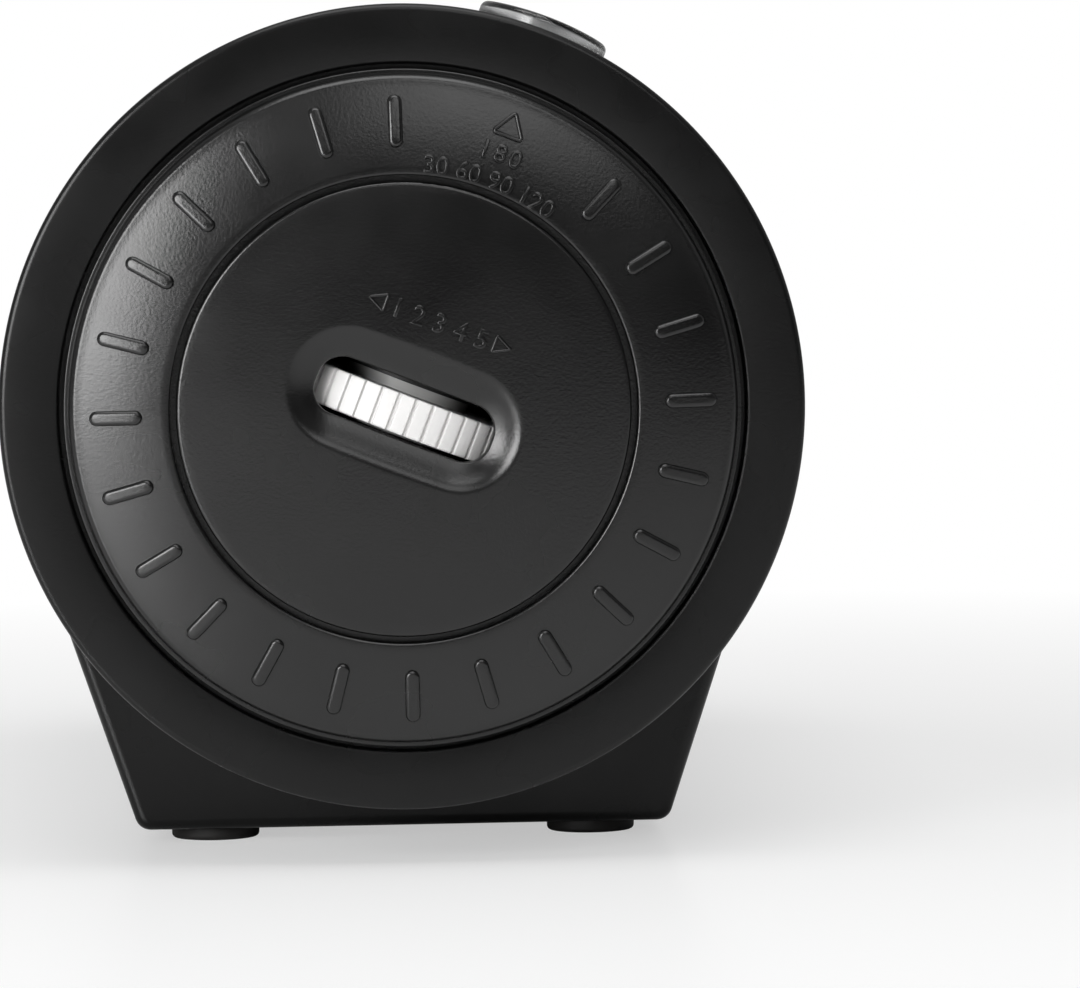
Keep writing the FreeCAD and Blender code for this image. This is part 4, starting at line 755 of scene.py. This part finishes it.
litGrids, darkGrids = segmentGrids(displaySizes)
litSegments = putPiece("litSegments", [onDisplay(grid) for grid in litGrids], False, "case", segmentGlow)
darkSegments = putPiece("darkSegments", [onDisplay(grid) for grid in darkGrids], False, "case",
                        finishes["segment"])
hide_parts("digit_segments")
print("display made")


# Raised plain numbers: the text is made a mesh, then its points are laid on the cap or the cover
numberSizes = {
    "bevel": 0.1, "thin": -0.012, "figureShare": 0.7,
    "upper": {"text": "180", "height": 1.95, "spacing": 1.25, "proud": 0.34},
    "lower": {"text": "30 60 90 120", "height": 2.0, "spacing": 1.0, "proud": 0.34},
    "focus": {"text": "1 2 3 4 5", "height": 2.1, "spacing": 1.03, "proud": 0.23},
    "upperLine": 28.7, "lowerLine": 25.7, "focusLine": 9.1,
}


# Flat text of a given figure height as a mesh; half of its thickness stands above zero
def textMesh(text, height, spacing, proud):
    curve = bpy.data.curves.new("numbers", "FONT")
    curve.body = text
    curve.align_x = "CENTER"
    curve.size = height / numberSizes["figureShare"]       # the share of the font's size that figures fill
    curve.space_character = spacing
    curve.extrude = proud - numberSizes["bevel"]
    curve.bevel_depth = numberSizes["bevel"]
    curve.bevel_resolution = 2
    curve.offset = numberSizes["thin"] * height
    curve.resolution_u = 6
    holder = bpy.data.objects.new("numbers", curve)
    bpy.context.scene.collection.objects.link(holder)
    bpy.context.view_layer.update()
    mesh = bpy.data.meshes.new_from_object(holder.evaluated_get(bpy.context.evaluated_depsgraph_get()))
    bpy.data.objects.remove(holder)
    return mesh


# Text as a piece of the drum: lay moves its flat points onto the cap or the cover
def layText(name, lay, text, height, spacing, proud):
    mesh = textMesh(text, height, spacing, proud)
    flat = np.zeros(len(mesh.vertices) * 3, np.float32)
    mesh.vertices.foreach_get("co", flat)
    placed = lay(flat.reshape(-1, 3).astype(float))
    mesh.vertices.foreach_set("co", (placed / metre).astype(np.float32).ravel())
    piece = finishPiece(name, mesh, "drum", finishes["cap_black"], 38.0)
    return piece


# Text round the dial: its line becomes an arc about the drum's axis
def arcLay(baseline):
    def lay(flat):
        angle = flat[:, 0] / (baseline + 1.0)
        radius = baseline + flat[:, 1]
        level = ringFace + capHeight(radius) + flat[:, 2]
        return onDrum(level, radius * np.sin(angle), radius * np.cos(angle))
    return lay


# Text on the cover: its points are shifted, lifted to their line and follow the cover's height
def coverLay(baseline, shift):
    def lay(flat):
        across, up = flat[:, 0] + shift, baseline + flat[:, 1]
        return onDrum(ringFace + coverHeight(across, up) + flat[:, 2], across, up)
    return lay


# An arrow each side of the focus numbers
arrowSizes = {
    "tip": 8.2, "shift": 0.3, "length": 1.9, "halfHeight": 0.95, "up": 10.15, "line": 0.34, "proud": 0.26,
    "round": 0.1,
}

layText("dialNumbersUpper", arcLay(numberSizes["upperLine"]), **numberSizes["upper"])
layText("dialNumbersLower", arcLay(numberSizes["lowerLine"]), **numberSizes["lower"])
layText("focusNumbers", coverLay(numberSizes["focusLine"], arrowSizes["shift"]), **numberSizes["focus"])


# A bead along a triangle that points away from the numbers
def arrowGrid(side):
    sizes = arrowSizes
    tip = sizes["shift"] + side * sizes["tip"]
    foot = tip - side * sizes["length"]
    halfHeight = side * sizes["halfHeight"]
    path = roundedPath([(tip, sizes["up"], sizes["round"]),
                        (foot, sizes["up"] + halfHeight, sizes["round"]),
                        (foot, sizes["up"] - halfHeight, sizes["round"])], 5, True)
    grid = beadGrid(path, sizes["line"], sizes["proud"])
    grid[..., 2] += coverHeight(grid[..., 0], grid[..., 1])
    return onCover(grid)


focusArrows = putPiece("focusArrows", [arrowGrid(side) for side in (-1, 1)], True, "drum",
                       finishes["cap_black"], 60.0)
print("numbers made")


# Floor: a white sheet with a faint gloss. What the camera sees of it is mixed towards plain white,
# wholly so away from the clock, and less under it, where its shadow stays
floorSizes = {
    "half": 3000.0, "tone": 0.9, "gloss": 0.28, "specular": 0.4, "nearWhite": 0.5, "nearEdge": 85.0,
    "farEdge": 330.0,
}
floorMesh = bpy.data.meshes.new("studioFloor")
floorHalf = floorSizes["half"] / metre
floorCorners = [(x * floorHalf, y * floorHalf, 0) for x, y in ((-1, -1), (1, -1), (1, 1), (-1, 1))]
floorMesh.from_pydata(floorCorners, [], [(0, 1, 2, 3)])
floor = bpy.data.objects.new("studioFloor", floorMesh)
bpy.context.scene.collection.objects.link(floor)
floorFinish, floorTree, floorShader, floorPlace = newFinish("studioFloor")
floorShader.inputs["Base Color"].default_value = (floorSizes["tone"],) * 3 + (1,)
floorShader.inputs["Roughness"].default_value = floorSizes["gloss"]
floorShader.inputs["Specular IOR Level"].default_value = floorSizes["specular"]
away = floorTree.nodes.new("ShaderNodeVectorMath")
away.operation = "LENGTH"
floorTree.links.new(floorPlace, away.inputs[0])
fade = rangeOf(floorTree, away.outputs["Value"], floorSizes["nearWhite"], 1.0,
               floorSizes["nearEdge"] / metre, floorSizes["farEdge"] / metre)
floorRays = floorTree.nodes.new("ShaderNodeLightPath")
floorSeen = floorTree.nodes.new("ShaderNodeMath")
floorSeen.operation = "MULTIPLY"
floorTree.links.new(floorRays.outputs["Is Camera Ray"], floorSeen.inputs[0])
floorTree.links.new(fade, floorSeen.inputs[1])
floorWhite = floorTree.nodes.new("ShaderNodeEmission")
floorMix = floorTree.nodes.new("ShaderNodeMixShader")
floorTree.links.new(floorSeen.outputs["Value"], floorMix.inputs["Fac"])
floorTree.links.new(floorShader.outputs["BSDF"], floorMix.inputs[1])
floorTree.links.new(floorWhite.outputs["Emission"], floorMix.inputs[2])
floorTree.links.new(floorMix.outputs["Shader"], floorTree.nodes["Material Output"].inputs["Surface"])
floorMesh.materials.append(floorFinish)


# Studio: a softbox beyond the camera's left shoulder, one above the camera, a large one overhead,
# and a pale room. What the camera and clear pieces see of the room is plain white. Glossy surfaces
# see it dimmer, and both they and the room's own light fade to almost nothing on the camera's side.
studio = {
    "sideBox": {"way": (0.82, -0.54, 0.20), "far": 1.1, "size": 0.5, "radiance": 13.0},
    "upperBox": {"way": (0.84, 0.16, 0.50), "far": 1.2, "size": 0.5, "radiance": 2.6},
    "overheadBox": {"way": (0.30, 0.0, 0.95), "far": 1.2, "size": 0.9, "radiance": 3.4},
    "room": 0.5, "roomDark": 0.02, "glossBright": 0.4, "glossDark": 0.01,
    "darkFrom": 0.0, "darkFull": 0.8,
}


# An area lamp of a given radiance: its power is radiance times its area times pi
def softBox(name, way, far, size, radiance):
    lamp = bpy.data.lights.new(name, "AREA")
    lamp.shape = "SQUARE"
    lamp.size = size
    lamp.energy = radiance * size * size * math.pi
    holder = bpy.data.objects.new(name, lamp)
    direction = np.array(way) / np.linalg.norm(way)
    middle = np.array([0, 0, axisHeight / metre])
    holder.location = middle + direction * far
    holder.rotation_mode = "QUATERNION"
    holder.rotation_quaternion = Vector(-direction).to_track_quat("-Z", "Y")
    bpy.context.scene.collection.objects.link(holder)


for name in ("sideBox", "upperBox", "overheadBox"):
    softBox(name, **studio[name])

world = bpy.data.worlds.new("room")
bpy.context.scene.world = world
world.use_nodes = True
tree = world.node_tree
background = tree.nodes["Background"]
output = tree.nodes["World Output"]
place = tree.nodes.new("ShaderNodeTexCoord")
parts = tree.nodes.new("ShaderNodeSeparateXYZ")
tree.links.new(place.outputs["Generated"], parts.inputs["Vector"])
background.inputs["Color"].default_value = (1, 1, 1, 1)
roomView = rangeOf(tree, parts.outputs["X"], studio["room"], studio["roomDark"],
                   studio["darkFrom"], studio["darkFull"])
tree.links.new(roomView, background.inputs["Strength"])
glossView = rangeOf(tree, parts.outputs["X"], studio["glossBright"], studio["glossDark"],
                    studio["darkFrom"], studio["darkFull"])
rays = tree.nodes.new("ShaderNodeLightPath")
whiteLevel = tree.nodes.new("ShaderNodeMix")
whiteLevel.inputs["A"].default_value = 1.0
tree.links.new(rays.outputs["Is Glossy Ray"], whiteLevel.inputs["Factor"])
tree.links.new(glossView, whiteLevel.inputs["B"])
white = tree.nodes.new("ShaderNodeBackground")
white.inputs["Color"].default_value = (1, 1, 1, 1)
tree.links.new(whiteLevel.outputs["Result"], white.inputs["Strength"])
seen = rays.outputs["Is Camera Ray"]
for kind in ("Is Glossy Ray", "Is Transmission Ray"):
    either = tree.nodes.new("ShaderNodeMath")
    either.operation = "MAXIMUM"
    tree.links.new(seen, either.inputs[0])
    tree.links.new(rays.outputs[kind], either.inputs[1])
    seen = either.outputs["Value"]
mixer = tree.nodes.new("ShaderNodeMixShader")
tree.links.new(seen, mixer.inputs["Fac"])
tree.links.new(background.outputs["Background"], mixer.inputs[1])
tree.links.new(white.outputs["Background"], mixer.inputs[2])
tree.links.new(mixer.outputs["Shader"], output.inputs["Surface"])


# Camera: a little above the drum's axis and to its left, looking along it, a little down and to the
# right, and held with a slight roll
cameraSizes = {
    "fromRing": 700.0, "across": -16.0, "aboveAxis": 30.0, "focal": 214.3, "sensor": 36.0,
    "turnRight": 2.518, "tiltDown": 3.240, "roll": 0.9,
}
camera = bpy.data.objects.new("camera", bpy.data.cameras.new("camera"))
camera.data.lens = cameraSizes["focal"]
camera.data.sensor_width = cameraSizes["sensor"]
camera.location = ((ringFace + cameraSizes["fromRing"]) / metre, cameraSizes["across"] / metre,
                   (axisHeight + cameraSizes["aboveAxis"]) / metre)
aim = Euler((math.radians(90 - cameraSizes["tiltDown"]), 0, math.radians(90 - cameraSizes["turnRight"])))
roll = Quaternion((0, 0, 1), -math.radians(cameraSizes["roll"]))
camera.rotation_euler = (aim.to_quaternion() @ roll).to_euler()
bpy.context.scene.collection.objects.link(camera)
bpy.context.scene.camera = camera

bpy.context.scene.view_settings.view_transform = "Standard"
print("studio made")
